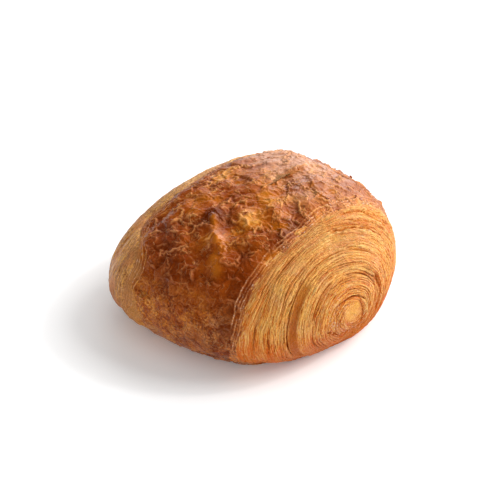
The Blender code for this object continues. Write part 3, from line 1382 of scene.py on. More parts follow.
        thin, wider, lip_at, lip_width, gap_width = 0.13, 0.15, 0.30 * MM, 0.15 * MM, 0.28 * MM
        opened = held(0.25 + 1.5 * winding.strand(16.0 * MM, layer * 2.3, 23.0))
        crevice = hump(from_border / ((thin + wider * opened) * MM)) * opened
        lipped = held(0.55 + 1.3 * winding.strand(11.0 * MM, layer * 3.1 + 5.0, 24.0))
        broken = 0.8 + 1.2 * winding.strand(3.5 * MM, layer * 3.1 + 5.0, 28.0)
        lipped = lipped * np.clip(broken, 0.2, 1.0)
        lip = hump((within * layer_width - lip_at) / lip_width) * lipped
        from_gap = np.minimum(within_wrap, 1.0 - within_wrap) * wrap_width
        gap = hump(from_gap / gap_width) * held(0.30 + 1.6 * winding.strand(13.0 * MM, 0.0, 27.0))
        settled = rise(winding.size, 0.10, 0.10)
        opened, gap = opened * settled, gap * settled

        opened, lip, gap = (self.lively * part for part in (opened, lip, gap))
        crevice = self.lively * crevice
        layer_height, lip_height, wrap_height, gap_depth = 0.20 * MM, 0.30 * MM, 0.8, 1.1 * MM
        shallow, deeper, fine_height, finer_height = 0.16, 0.60, 0.12 * MM, 0.07 * MM
        depth = (shallow + deeper * opened) * MM
        height = layer_height * np.sin(math.pi * within) - depth * crevice
        height += lip_height * lip + fine_height * fine + finer_height * finer
        height += wrap_height * self.lively * MM * (np.sin(math.pi * within_wrap) ** 0.7 - 0.6)
        height -= gap_depth * gap
        hollow = np.maximum(0.85 * crevice, gap)
        return Layered(height, lip, hollow, np.zeros_like(height)), layer

    def draw_seams(self, layered: Layered, winding: Winding, fine: Field) -> None:
        """Draws the seams through the layers.

        Args:
            layered: What has risen so far.
            winding: Where the corners lie.
            fine: Fine noise along the layers.
        """
        for seam in self.seams:
            shape, flat = seam.lay(winding)
            layered.height = layered.height * (1.0 - flat) - seam.depth * MM * shape
            if seam.ribs:
                along = winding.angle * winding.size * self.end.oval[0] + 0.5 * MM * fine
                ribs = np.sin(math.tau * along / self.rib_pitch)
                layered.height = layered.height + seam.ribs * MM * shape * ribs
                flat = np.zeros_like(flat)
            layered.fade(flat)
            layered.mark(shape, seam.depth)
            layered.smoothed = np.maximum(layered.smoothed, flat)


@dataclass
class Flakes:
    """Loose thin flakes of the crust's outermost skin, which stand up at their edges.

    Attributes:
        count: How many there are.
        rings: How many rings of faces one has.
        spokes: How many faces each ring has.
        smallest: Half the smallest one's length.
        largest: Half the largest one's length.
        lowest: How high the lowest one lies.
        thickness: How thick they are.
        seed: Which flakes of this kind.
        margin: How many rows and columns of the crust's grid they keep off its borders.
        waves: How often each flake's outline waves, and how far.
    """

    count: int = 26
    rings: int = 4
    spokes: int = 16
    smallest: float = 0.6 * MM
    largest: float = 1.7 * MM
    lowest: float = 26.0 * MM
    thickness: float = 0.10 * MM
    seed: int = 11
    margin: tuple[int, int] = (8, 40)
    waves: tuple[tuple[int, float], ...] = ((2, 0.18), (3, 0.2), (5, 0.14))

    def build(self, crust: Field) -> bpy.types.Object:
        """Makes the flakes on the finished crust.

        Args:
            crust: The places of the crust's corners on their grid.

        Returns:
            All of them as one piece.
        """
        random = np.random.default_rng(self.seed)
        row_step, column_step = spacing(crust, 0), spacing(crust, 1)
        rows, columns = crust.shape[:2]
        outward = unit(np.cross(np.gradient(crust, axis=1), np.gradient(crust, axis=0)))
        outward = -outward if outward[rows // 2, columns // 2, 2] < 0.0 else outward
        row_margin, column_margin = self.margin
        finest, mostly_small = 0.1 * MM, 1.8
        made = []
        while len(made) < self.count:
            row = random.uniform(row_margin, rows - row_margin - 1)
            column = random.uniform(column_margin, columns - column_margin - 1)
            spot = (int(row), int(column))
            if crust[spot][2] < self.lowest:
                continue
            share = random.random() ** mostly_small
            size = self.smallest + (self.largest - self.smallest) * share
            steps = (max(row_step[spot], finest), max(column_step[spot], finest))
            made.append(self.one(crust, outward, (row, column), steps, size, random))
        for piece in made:
            piece.select_set(True)
        bpy.context.view_layer.objects.active = made[0]
        bpy.ops.object.join()
        flakes = bpy.context.object
        flakes.name = flakes.data.name = "flakes"
        join_corners()
        bpy.ops.object.modifier_add(type="SOLIDIFY")
        flakes.modifiers[-1].thickness = self.thickness
        bpy.ops.object.modifier_apply(modifier=flakes.modifiers[-1].name)
        bpy.ops.object.shade_smooth()
        return flakes

    def one(
        self,
        crust: Field,
        outward: Field,
        middle: tuple[float, float],
        steps: tuple[float, float],
        size: float,
        random: np.random.Generator,
    ) -> bpy.types.Object:
        """Makes one flake, which follows the crust under it and curls up at its edge.

        Args:
            crust: The places of the crust's corners.
            outward: The crust's outward directions there.
            middle: The row and the column of the flake's middle.
            steps: How far apart the crust's rows and its columns lie there.
            size: Half the flake's length.
            random: Where its shape comes from.

        Returns:
            The flake.
        """
        ring = np.linspace(0.0, 1.0, self.rings + 1)[:, None]
        spoke = np.linspace(0.0, math.tau, self.spokes + 1)[None, :]
        turn, narrow = random.uniform(0.0, math.pi), random.uniform(0.35, 0.9)
        phases = random.uniform(0.0, math.tau, 3)
        outline = 1.0 + sum(
            reach * np.sin(times * spoke + phase)
            for (times, reach), phase in zip(self.waves, phases)
        )
        along = size * ring * outline * np.cos(spoke)
        across = size * narrow * ring * outline * np.sin(spoke)
        row = middle[0] + (along * math.cos(turn) - across * math.sin(turn)) / steps[0]
        column = middle[1] + (along * math.sin(turn) + across * math.cos(turn)) / steps[1]
        last, off_crust, curled = 1.001, 0.10 * MM, 2.5
        row = np.clip(row, 0.0, crust.shape[0] - last)
        column = np.clip(column, 0.0, crust.shape[1] - last)
        lift = random.uniform(0.15, 0.6) * MM * (0.5 + 0.5 * np.sin(spoke + phases[0]))
        height = off_crust + lift * ring**curled
        points = between_corners(crust, row, column)
        points = points + between_corners(outward, row, column) * height[..., None]
        flake = Sheet("flake", self.rings, self.spokes)
        flake.place(points)
        flake.paint("edge", np.broadcast_to(ring**3, row.shape))
        flake.paint("shade", np.full(row.shape, random.random()))
        flake.piece.select_set(False)
        return flake.piece


def between_corners(values: Field, row: Field, column: Field) -> Field:
    """Reads vectors kept at a grid's corners at places between the corners.

    Args:
        values: The vectors at the corners.
        row: The places' rows.
        column: The places' columns.

    Returns:
        The vectors at those places.
    """
    low_row, low_column = row.astype(int), column.astype(int)
    row_part, column_part = (row - low_row)[..., None], (column - low_column)[..., None]
    first = values[low_row, low_column] * (1 - column_part)
    first = first + values[low_row, low_column + 1] * column_part
    second = values[low_row + 1, low_column] * (1 - column_part)
    second = second + values[low_row + 1, low_column + 1] * column_part
    return first * (1 - row_part) + second * row_part


class Tone(Enum):
    """The pastry's own colours, and those of its painted shade, light, sheen and glints, as a
    display shows them.
    """

    DEEP = srgb(106, 36, 3)
    BROWN = srgb(144, 59, 8)
    CARAMEL = srgb(166, 80, 14)
    AMBER = srgb(200, 112, 24)
    GOLD = srgb(226, 152, 62)
    FLAKE = srgb(232, 166, 112)
    PLUM = srgb(128, 62, 44)
    # Painted shade in the crust's hollows, under its curled edges and beside its rims' lines.
    EMBER = srgb(120, 38, 2)
    HONEY = srgb(198, 84, 16)
    OCHRE = srgb(223, 130, 46)
    ORANGE = srgb(202, 98, 16)
    STRAW = srgb(242, 176, 82)
    CREAM = srgb(250, 202, 120)
    ROSE = srgb(208, 124, 72)
    # Painted shade in the layers' crevices: the first low down, the second high up.
    CREVICE = srgb(164, 74, 14)
    CLEFT = srgb(206, 122, 34)
    BAND = srgb(192, 114, 46)
    CORE = srgb(228, 178, 84)
    TAN = srgb(188, 128, 74)
    TOAST = srgb(150, 88, 40)
    # Painted sheen on the crust's top.
    DUST = srgb(228, 182, 156)
    # Painted light on the top of the layers.
    PALE = srgb(234, 200, 148)
    # Painted glints: near-white specks that stand in for highlights.
    FLECK = srgb(255, 228, 200)


class Signal:
    """One value in a material's nodes, on which arithmetic adds Math nodes."""

    def __init__(self, graph: "Graph", socket: bpy.types.NodeSocket) -> None:
        """Wraps a node's output."""
        self.graph = graph
        self.socket = socket

    def maths(self, operation: str, *parts: Any) -> "Signal":
        """Adds a Math node of this operation on the given values."""
        node = self.graph.add("ShaderNodeMath", {"operation": operation}, dict(enumerate(parts)))
        return Signal(self.graph, node.outputs[0])

    def __add__(self, other: Any) -> "Signal":
        """Their sum."""
        return self.maths("ADD", self, other)

    __radd__ = __add__

    def __sub__(self, other: Any) -> "Signal":
        """This less the other."""
        return self.maths("SUBTRACT", self, other)

    def __rsub__(self, other: Any) -> "Signal":
        """The other less this."""
        return self.maths("SUBTRACT", other, self)

    def __mul__(self, other: Any) -> "Signal":
        """Their product."""
        return self.maths("MULTIPLY", self, other)

    __rmul__ = __mul__

    def __abs__(self) -> "Signal":
        """This without its sign."""
        return self.maths("ABSOLUTE", self)

    def held(self, low: float = 0.0, high: float = 1.0) -> "Signal":
        """This kept between two values."""
        return self.maths("MINIMUM", self.maths("MAXIMUM", self, low), high)

    def eased(self, low: float, high: float) -> "Signal":
        """Goes smoothly from 0 where this is low to 1 where it is high."""
        settings = {"interpolation_type": "SMOOTHSTEP"}
        inputs = {"Value": self, "From Min": low, "From Max": high}
        node = self.graph.add("ShaderNodeMapRange", settings, inputs)
        return Signal(self.graph, node.outputs["Result"])


class Graph:
    """One material under construction, with its shader at hand."""

    def __init__(self, name: str) -> None:
        """Starts a material that holds its shader and its output alone."""
        self.material = bpy.data.materials.new(name)
        self.material.use_nodes = True
        self.tree = self.material.node_tree
        self.shader = self.tree.nodes["Principled BSDF"]
        self.place = self.add("ShaderNodeTexCoord", {}, {}).outputs["Object"]
        self.read: dict[str, Signal] = {}

    def add(self, kind: str, settings: dict[str, Any], inputs: dict[Any, Any]) -> bpy.types.Node:
        """Adds one node.

        Args:
            kind: The node's type.
            settings: What is set on the node itself.
            inputs: Values or links for its sockets, by name or number.

        Returns:
            The node.
        """
        node = self.tree.nodes.new(kind)
        for key, value in settings.items():
            setattr(node, key, value)
        self.feed(node, inputs)
        return node

    def feed(self, node: bpy.types.Node, inputs: dict[Any, Any]) -> None:
        """Sets or links a node's sockets."""
        for key, value in inputs.items():
            socket = value.socket if isinstance(value, Signal) else value
            if isinstance(socket, bpy.types.NodeSocket):
                self.tree.links.new(socket, node.inputs[key])
            else:
                node.inputs[key].default_value = socket

    def painted(self, *names: str) -> list[Signal]:
        """What the piece's corners keep under these names."""
        for name in names:
            if name not in self.read:
                node = self.add("ShaderNodeAttribute", {"attribute_name": name}, {})
                self.read[name] = Signal(self, node.outputs["Fac"])
        return [self.read[name] for name in names]

    def height(self) -> Signal:
        """How high the place is above the floor."""
        parts = self.add("ShaderNodeSeparateXYZ", {}, {0: self.place})
        return Signal(self, parts.outputs["Z"])

    def noise(
        self,
        size: float,
        detail: float = 3.0,
        rough: float = 0.55,
        seed: float = 0.0,
        place: bpy.types.NodeSocket | None = None,
    ) -> Signal:
        """Cloudy noise round 0.5.

        Args:
            size: How far apart its hills lie, in metres.
            detail: How much finer noise is added.
            rough: How strong that is.
            seed: Which noise of this size.
            place: Where it is read, if that isn't the place itself.

        Returns:
            The noise.
        """
        inputs = {0: place or self.place, 1: (seed,) * 3}
        shift = self.add("ShaderNodeVectorMath", {"operation": "ADD"}, inputs)
        inputs = {"Vector": shift.outputs[0], "Scale": 1.0 / size}
        inputs |= {"Detail": detail, "Roughness": rough}
        return Signal(self, self.add("ShaderNodeTexNoise", {}, inputs).outputs["Fac"])

    def strayed(self, size: float, reach: float, seed: float) -> bpy.types.NodeSocket:
        """The place, moved to and fro by up to a reach over a size, in metres."""
        inputs = {0: self.place, 1: (seed,) * 3}
        shift = self.add("ShaderNodeVectorMath", {"operation": "ADD"}, inputs)
        inputs = {"Vector": shift.outputs[0], "Scale": 1.0 / size, "Detail": 2.0}
        clouds = self.add("ShaderNodeTexNoise", {}, inputs).outputs["Color"]
        settings = {"operation": "MULTIPLY_ADD"}
        inputs = {0: clouds, 1: (4.0 * reach,) * 3, 2: self.place}
        return self.add("ShaderNodeVectorMath", settings, inputs).outputs[0]

    def curls(self, size: float, width: float, seed: float) -> tuple[Signal, Signal, Signal]:
        """A torn skin whose edges have curled up here and there.

        Args:
            size: How far apart its tears lie, in metres.
            width: Half an edge's width, in metres.
            seed: Which tears of this size.

        Returns:
            Where the skin is left, its curled edges, and the shade under those.
        """
        place = self.strayed(0.6 * size, 0.16 * size, seed + 1.0)
        field = self.noise(size, 1.0, 0.5, seed, place) - 0.5
        reach = 0.5 * width / size
        broken = self.noise(1.1 * size, 1.0, 0.5, seed + 2.0).eased(0.50, 0.62)
        edge = (1.0 - abs(field) * (1.0 / reach)).held() * broken
        under = (1.0 - abs(field + 2.0 * reach) * (0.6 / reach)).held() * broken
        return field.eased(-reach, reach), edge, under

    def streaks(self, count: float, length: float, seed: float) -> Signal:
        """Noise drawn out along the winding, as fine as the layers are thin.

        Args:
            count: How many layers of it lie in one wrap, divided by a full turn.
            length: How long its streaks are, in metres.
            seed: Which noise of this kind.

        Returns:
            The noise, round 0.5.
        """
        spread = self.add("ShaderNodeSeparateXYZ", {}, {0: self.place})
        across, above = (Signal(self, spread.outputs[axis]) for axis in ("Y", "Z"))
        wave, swing = ((part - 0.5) * (2.0 * count) for part in self.painted("wave", "swing"))
        inputs = {0: wave + seed, 1: swing, 2: across * (1.0 / length)}
        place = self.add("ShaderNodeCombineXYZ", {}, inputs)
        settings = {"noise_dimensions": "4D"}
        inputs = {"Vector": place.outputs[0], "W": above * (1.0 / length), "Scale": 1.0}
        inputs |= {"Detail": 2.0, "Roughness": 0.55}
        return Signal(self, self.add("ShaderNodeTexNoise", settings, inputs).outputs["Fac"])

    def laminations(self, count: int, stray: float, seed: float) -> Signal:
        """Even fine lines along the winding, from 0 between them to 1 on them.

        Args:
            count: How many of them lie in one wrap.
            stray: How far they stray, in radians.
            seed: Which lines of this kind.

        Returns:
            The lines.
        """
        wave, swing = (part - 0.5 for part in self.painted("wave", "swing"))
        clouds = (self.noise(6.0 * MM, 2.0, 0.5, seed) - 0.5) * stray
        turned = swing.maths("ARCTAN2", swing, wave) * float(count) + clouds
        return turned.maths("SINE", turned) * 0.5 + 0.5

    def mix(self, factor: Signal, first: Any, second: Any) -> bpy.types.NodeSocket:
        """The first colour, and the second where the factor is 1."""
        node = self.add("ShaderNodeMix", {"data_type": "RGBA"}, {0: factor, 6: first, 7: second})
        return node.outputs[2]

    def tinged(
        self, colour: bpy.types.NodeSocket, tinges: Iterable[tuple[Signal, Tone]]
    ) -> bpy.types.NodeSocket:
        """The colour with tinges laid over it in order, each with how much of it shows."""
        for amount, tone in tinges:
            colour = self.mix(amount, colour, tone.value)
        return colour

    def ramp(self, factor: Signal, stops: Iterable[tuple[float, Tone]]) -> bpy.types.NodeSocket:
        """Tones along a factor, each at its own place."""
        node = self.add("ShaderNodeValToRGB", {}, {0: factor})
        elements = node.color_ramp.elements
        stops = list(stops)
        while len(elements) < len(stops):
            elements.new(0.5)
        for element, (place, tone) in zip(elements, stops):
            element.position, element.color = place, tone.value
        return node.outputs[0]

    def bump(self, layers: Iterable[tuple[Signal, float]]) -> bpy.types.NodeSocket:
        """Bumps from several heights, each with how far it stands out in metres."""
        normal = None
        for height, distance in layers:
            inputs = {"Height": height, "Distance": distance, "Strength": 1.0}
            if normal is not None:
                inputs["Normal"] = normal
            normal = self.add("ShaderNodeBump", {}, inputs).outputs["Normal"]
        return normal

    def let_light_in(self, weight: float, reach: float, spread: tuple[float, ...]) -> None:
        """Lets light into the dough: how much of it, how deep, and how deep for each colour."""
        inputs = {"Subsurface Weight": weight, "Subsurface Scale": reach}
        self.feed(self.shader, inputs | {"Subsurface Radius": spread})


@dataclass(frozen=True)
class Mottle:
    """The cloudy noise that a finish is mottled with.

    Attributes:
        broad: The noise whose clouds are largest.
        mid: The noise between the two.
        fine: The noise whose clouds are smallest.
    """

    broad: Signal
    mid: Signal
    fine: Signal


@dataclass(frozen=True)
class CrustFinish:
    """Egg-washed crust: brown where it baked most, amber where it blistered, pale where torn, with
    painted shade, sheen and glints.

    Attributes:
        name: The material's name.
        subsurface: How much light goes into it.
        coat_roughness: How rough the egg wash is.
        specular: How strongly it reflects under that.
        curls: How far apart the tears of each thin skin lie, how wide they are, and which they are.
        stops: Its colours, from where it baked least.
    """

    name: str = "browned_crust"
    subsurface: float = 0.05
    coat_roughness: float = 0.09
    specular: float = 0.38
    curls: tuple[tuple[float, float, float], ...] = (
        (5.0 * MM, 0.30 * MM, 61.0),
        (3.3 * MM, 0.22 * MM, 63.0),
    )
    stops: tuple[tuple[float, Tone], ...] = (
        (0.02, Tone.GOLD),
        (0.22, Tone.AMBER),
        (0.42, Tone.CARAMEL),
        (0.66, Tone.BROWN),
        (0.92, Tone.DEEP),
    )

    def material(self) -> bpy.types.Material:
        """Makes the finish."""
        graph = Graph(self.name)
        broad, mid = graph.noise(7.0 * MM, 4.0), graph.noise(2.2 * MM, 4.0, 0.6, 3.0)
        fine = graph.noise(0.55 * MM, 3.0, 0.65, 5.0)
        amber, dry, grain, gloss = graph.painted("amber", "dry", "grain", "gloss")
        edged, ringed, torn = graph.painted("edged", "ringed", "torn")
        skins, edges, shades = self.tears(graph)
        crisp = graph.noise(0.9 * MM, 1.0, 0.5, 7.0).eased(0.38, 0.62)
        crinkles = self.crinkles(graph)
        torn = torn * (1.0 - grain * 0.75) * (0.55 + edged * 0.45)
        torn = torn.maths("MAXIMUM", torn + edges * 0.7, ringed)
        pale = (torn * (0.5 + fine * 0.8) + crinkles * (0.06 + grain * 0.64)).held()
        dark = self.darkness(graph, Mottle(broad, mid, fine), crisp)
        dark = dark - skins * (0.05 + grain * 0.13) - pale * 0.46
        wet = gloss + amber * 0.5 - torn * 0.4 - dry * 0.5
        layers = (
            (mid * (0.45 + grain * 0.6), 0.24 * MM),
            (fine * (0.6 + grain), 0.18 * MM),
            (skins, 0.14 * MM),
            (edges, 0.34 * MM),
            ((crinkles + crisp * 0.3) * (0.1 + grain * 0.9), 0.26 * MM),
        )
        inputs = {
            "Base Color": self.colour(graph, dark, pale, mid, (skins, shades)),
            "Roughness": (0.36 + (mid - 0.5) * 0.5 - wet * 0.22 + dry * 0.2).held(0.10, 0.8),
            "Coat Weight": ((broad - 0.5) * 1.0 + wet * 0.6).held(0.0, 1.0),
            "Coat Roughness": self.coat_roughness,
            "Specular IOR Level": self.specular,
            "Specular Tint": Tone.GOLD.value,
            "Normal": graph.bump(layers),
        }
        graph.feed(graph.shader, inputs)
        graph.let_light_in(self.subsurface, 0.6 * MM, (1.0, 0.45, 0.18))
        return graph.material

    def tears(self, graph: Graph) -> tuple[Signal, Signal, Signal]:
        """The thinnest torn skins, on top of the shaped ones.

        Args:
            graph: The material.

        Returns:
            Where the skins are left, their curled edges, and the shade under those.
        """
        amber, edged, grain = graph.painted("amber", "edged", "grain")
        plain = (1.0 - amber * 0.8) * edged * (1.0 - grain * 0.6)
        skins, edges, shades = graph.curls(*self.curls[0])
        for size, width, seed in self.curls[1:]:
            skin, edge, shade = graph.curls(size, width, seed)
            skins = skins + skin * 0.6
            edges = edges.maths("MAXIMUM", edges, edge * 0.8)
            shades = shades.maths("MAXIMUM", shades, shade * 0.8)
        return skins, edges * plain, shades * plain

    def crinkles(self, graph: Graph) -> Signal:
        """Thin dry crinkles that come and go."""
        (edged,) = graph.painted("edged")
        wrinkles = graph.noise(1.5 * MM, 1.0, 0.5, 9.0, graph.strayed(2.0 * MM, 0.3 * MM, 11.0))
        crinkled = graph.noise(5.0 * MM, 2.0, 0.5, 13.0).eased(0.42, 0.58) * edged
        return (1.0 - abs(wrinkles - 0.5) * 14.0).held() * crinkled

    def darkness(self, graph: Graph, mottle: Mottle, crisp: Signal) -> Signal:
        """How dark the crust is before its skins and its pale edges.

        Args:
            graph: The material.
            mottle: Its cloudy noise.
            crisp: Its noise with hard edges.

        Returns:
            The darkness, from 0 to about 1.
        """
        # The bake also holds the painted shade of the hollows.
        bake_and_shade, grain, rim = graph.painted("bake_and_shade", "grain", "rim")
        dark = bake_and_shade + (mottle.broad - 0.5) * 0.45 + (mottle.mid - 0.5) * (0.26 + grain * 0.24)
        dark = dark + (crisp - 0.5) * grain * 0.36 + (mottle.fine - 0.5) * (0.5 + grain * 0.4)
        return dark - rim * 0.15 + 0.16

    def colour(
        self, graph: Graph, dark: Signal, pale: Signal, mid: Signal, thin: tuple[Signal, Signal]
    ) -> bpy.types.NodeSocket:
        """Its colour, from the browned crust to the pale dried edges, with painted shade, sheen and
        glints.

        Args:
            graph: The material.
            dark: How dark it is.
            pale: How pale its torn edges are.
            mid: The noise that mottles its tinges.
            thin: Where its thinnest skins are left, and the shade under their edges.

        Returns:
            The colour.
        """
        skins, shades = thin
        amber, dry, painted_sheen, grain = graph.painted("amber", "dry", "painted_sheen", "grain")
        hollow, plum_and_sheen, ringed, shaded = graph.painted("hollow", "plum_and_sheen", "ringed", "shaded")
        tan = (dry * (0.4 + mid * 0.8) + skins * grain * 0.20).held() * 0.8
        # Painted shade: darker in the hollows, under the curled edges and beside the rims' lines.
        low = (hollow * 0.4 + shaded * 0.4 + shades * 0.35).held()
        # Painted glints: near-white specks along the rims' dried lines.
        glint_specks = graph.noise(1.0 * MM, 2.0, 0.6, 15.0).eased(0.56, 0.64)
        tinges = (
            # The plum tinge, with the painted sheen on the top.
            ((plum_and_sheen * (mid + 0.3)).held(), Tone.PLUM),
            (tan, Tone.TAN),
            # Painted sheen.
            ((painted_sheen * (0.2 + mid * 0.9)).held(), Tone.DUST),
            (amber * 0.65, Tone.AMBER),
            # Painted shade.
            (low, Tone.EMBER),
            (pale * 0.62, Tone.FLAKE),
            # Painted glints.
            (glint_specks * ringed * (0.75 - grain * 0.4), Tone.FLECK),
        )
        return graph.tinged(graph.ramp(dark, self.stops), tinges)


@dataclass(frozen=True)
class LayerFinish:
    """The dry golden edges of the dough's layers, with pale lips and crevices painted brown as
    shade.

    Attributes:
        name: The material's name.
        stops: Its colours, from the darkest layers to the lightest.
        lip: The colour of its pale lips.
        toasted_and_shaded: Its colour where it baked most, and of the painted shade towards the
            floor and away from the key light.
        drawn: How clearly its thin lines are drawn.
        subsurface: How much light goes into it.
        coat_roughness: How rough its thin egg wash is.
        specular: How strongly it reflects under that.
    """

    name: str = "golden_layers"
    stops: tuple[tuple[float, Tone], ...] = (
        (0.12, Tone.HONEY),
        (0.45, Tone.OCHRE),
        (0.85, Tone.STRAW),
    )
    lip: Tone = Tone.CREAM
    toasted_and_shaded: Tone = Tone.ORANGE
    drawn: float = 1.0
    subsurface: float = 0.08
    coat_roughness: float = 0.2
    specular: float = 0.25

    def material(self) -> bpy.types.Material:
        """Makes the finish."""
        graph = Graph(self.name)
        broad, mid = graph.noise(8.0 * MM, 3.0, 0.5, 21.0), graph.noise(1.8 * MM, 4.0, 0.6, 23.0)
        fine = graph.noise(0.5 * MM, 3.0, 0.65, 25.0)
        grit = graph.noise(0.9 * MM, 1.0, 0.5, 37.0).eased(0.36, 0.64)
        core, flat, lip, toast_and_shade = graph.painted("core", "smooth", "lip", "toast_and_shade")
        thin, thick = graph.streaks(3.2, 8.0 * MM, 27.0), graph.streaks(1.5, 15.0 * MM, 29.0)
        sheets, leaves = graph.laminations(9, 16.0, 41.0), graph.laminations(19, 26.0, 43.0)
        layered = (1.0 - core * 0.85) * self.drawn
        height = graph.height()
        # How low and how high the place is, for the painted shade near the floor and the painted
        # light on the top.
        low, high = 1.0 - height.eased(1.0 * MM, 24.0 * MM), height.eased(26.0 * MM, 46.0 * MM)
        lines = ((thin - 0.5) * 0.7 + (thick - 0.5) * 0.4) * layered
        lines = lines + ((sheets - 0.5) * 0.3 + (leaves - 0.5) * 0.4) * layered
        light = self.lightness(graph, Mottle(broad, mid, fine), lines)
        # Painted shade towards the floor, painted light towards the top.
        light = light + (grit - 0.5) * 0.22 - low * 0.7 + high * 0.08
        drawn = layered * (1.0 - flat)
        whole = graph.streaks(1.1, 7.0 * MM, 33.0).eased(0.40, 0.56) * drawn
        crest = (1.0 - abs(thin - 0.53) * 14.0).held() * whole * 0.3
        line = (1.0 - abs(thick - 0.5) * 18.0).held() * whole
        leaf = leaves.eased(0.70, 0.98) * thick.eased(0.42, 0.58) * drawn
        pale = lip * 0.7 + crest + line * 0.5 + leaf * 0.6
        # The pale lines fade towards the floor with the painted shade.
        pale = (pale * (0.5 + fine) * (1.0 - low * 0.8)).held()
        # Painted glints: near-white specks on the layers.
        glint_specks = graph.noise(1.0 * MM, 2.0, 0.6, 35.0).eased(0.54, 0.66) * thin.eased(0.4, 0.6)
        ridges = (thin * 0.7 + line * 0.3 + leaves * 0.4 + sheets * 0.4) * layered
        layers = (
            (mid * (1.0 + core * 2.0), 0.30 * MM),
            (ridges, 0.34 * MM),
            (fine + grit * 0.4, 0.24 * MM),
        )
        coat = (broad - 0.45) * 1.2 + lip * 0.25 - toast_and_shade * 0.3 - low * 0.5
        inputs = {
            "Base Color": self.colour(graph, light, mid, (low, high), (pale, glint_specks)),
            "Roughness": (0.46 + (mid - 0.5) * 0.3).held(0.2, 0.8),
            "Coat Weight": coat.held(0.0, 0.6),
            "Coat Roughness": self.coat_roughness,
            "Specular IOR Level": self.specular,
            "Specular Tint": Tone.STRAW.value,
            "Normal": graph.bump(layers),
        }
        graph.feed(graph.shader, inputs)
        graph.let_light_in(self.subsurface, 0.8 * MM, (1.0, 0.5, 0.2))
        return graph.material

    def lightness(self, graph: Graph, mottle: Mottle, lines: Signal) -> Signal:
        """How light the layers are, before the grit and the height count.

        Args:
            graph: The material.
            mottle: Its cloudy noise.
            lines: What the drawn lines add.

        Returns:
            The lightness, from 0 to about 1.
        """
        grain, toast_and_shade, tone = graph.painted("grain", "toast_and_shade", "tone")
        light = tone * 0.35 + grain * 0.35 + (mottle.broad - 0.5) * 0.4 + (mottle.mid - 0.5) * 0.6
        # The toast also holds the painted shade on the side away from the key light.
        return light + lines + (mottle.fine - 0.5) * 1.3 + 0.10 - toast_and_shade * 0.22

    def colour(
        self,
        graph: Graph,
        light: Signal,
        mid: Signal,
        heights: tuple[Signal, Signal],
        lines: tuple[Signal, Signal],
    ) -> bpy.types.NodeSocket:
        """Its colour, from the layers to the crevices between them, with painted shade in the
        crevices, towards the floor and away from the key light, painted light on the top, and
        painted glints.

        Args:
            graph: The material.
            light: How light the layers are.
            mid: The noise that mottles the core.
            heights: How low and how high the place is.
            lines: Its pale lines, and its painted glints: white specks that stand in for
                highlights.

        Returns:
            The colour.
        """
        (low, high), (pale, glint_specks) = heights, lines
        core, flat, glint_zone = graph.painted("core", "smooth", "glint_zone")
        hollow, toast_and_shade = graph.painted("hollow", "toast_and_shade")
        rosy = graph.noise(9.0 * MM, 2.0, 0.5, 27.0).eased(0.5, 0.66) * 0.5
        tinges = (
            (rosy, Tone.ROSE),
            # Painted light: paler towards the top.
            (high * 0.15, Tone.PALE),
            # Painted shade towards the floor and on the side away from the key light, with the
            # outer turns' bake.
            ((low * 0.75 + toast_and_shade * 0.6).held(), self.toasted_and_shaded),
            (flat * 0.6, Tone.BAND),
            ((core * (0.1 + mid * 0.8)).held(), Tone.CORE),
            (pale * 0.8, self.lip),
            # Painted glints, most in the ring round the core.
            (glint_specks * (glint_zone * 0.6 + 0.12), Tone.FLECK),
        )
        colour = graph.tinged(graph.ramp(light, self.stops), tinges)
        # Painted shade in the crevices, a little lighter high up.
        depths = graph.mix(high, Tone.CREVICE.value, Tone.CLEFT.value)
        return graph.mix((hollow * 0.85).held(), colour, depths)


@dataclass(frozen=True)
class FlakeFinish:
    """Thin amber flakes with pale edges.

    Attributes:
        name: The material's name.
        subsurface: How much light goes into it.
        coat_roughness: How rough the egg wash on it is.
        stops: Its colours, from the lightest flakes.
    """

    name: str = "thin_flakes"
    subsurface: float = 0.25
    coat_roughness: float = 0.14
    stops: tuple[tuple[float, Tone], ...] = (
        (0.1, Tone.AMBER),
        (0.5, Tone.CARAMEL),
        (0.95, Tone.BROWN),
    )

    def material(self) -> bpy.types.Material:
        """Makes the finish."""
        graph = Graph(self.name)
        edge, shade = graph.painted("edge", "shade")
        mid, fine = graph.noise(1.6 * MM, 3.0, 0.6, 31.0), graph.noise(0.5 * MM, 3.0, 0.6, 33.0)
        colour = graph.ramp(shade * 0.6 + (mid - 0.5) * 0.8 + 0.25, self.stops)
        colour = graph.tinged(colour, (((edge * (0.3 + fine)).held() * 0.5, Tone.FLAKE),))
        inputs = {
            "Base Color": colour,
            "Roughness": (0.3 + (mid - 0.5) * 0.4).held(0.15, 0.7),
            "Coat Weight": (0.6 - edge * 0.5).held(),
            "Coat Roughness": self.coat_roughness,
            "Normal": graph.bump(((fine, 0.08 * MM),)),
        }
        graph.feed(graph.shader, inputs)
        graph.let_light_in(self.subsurface, 0.8 * MM, (1.0, 0.5, 0.2))
        return graph.material


@dataclass(frozen=True)
class FloorFinish:
    """The studio's plain pale floor.

    Attributes:
        name: The material's name.
        colour: Its colour.
        cloudy: The colour of its faint clouds.
        glow: How strongly it shines of its own.
    """

    name: str = "studio_floor"
    colour: Colour = (0.95, 0.95, 0.95, 1.0)
    cloudy: Colour = (0.90, 0.90, 0.90, 1.0)
    glow: float = 0.11

    def material(self) -> bpy.types.Material:
        """Makes the finish."""
        graph = Graph(self.name)
        shade = graph.mix(graph.noise(0.4, 2.0) * 0.05, self.colour, self.cloudy)
        inputs = {"Base Color": shade, "Roughness": 0.9, "Specular IOR Level": 0.1}
        inputs |= {"Emission Color": WHITE, "Emission Strength": self.glow}
        graph.feed(graph.shader, inputs)
        return graph.material


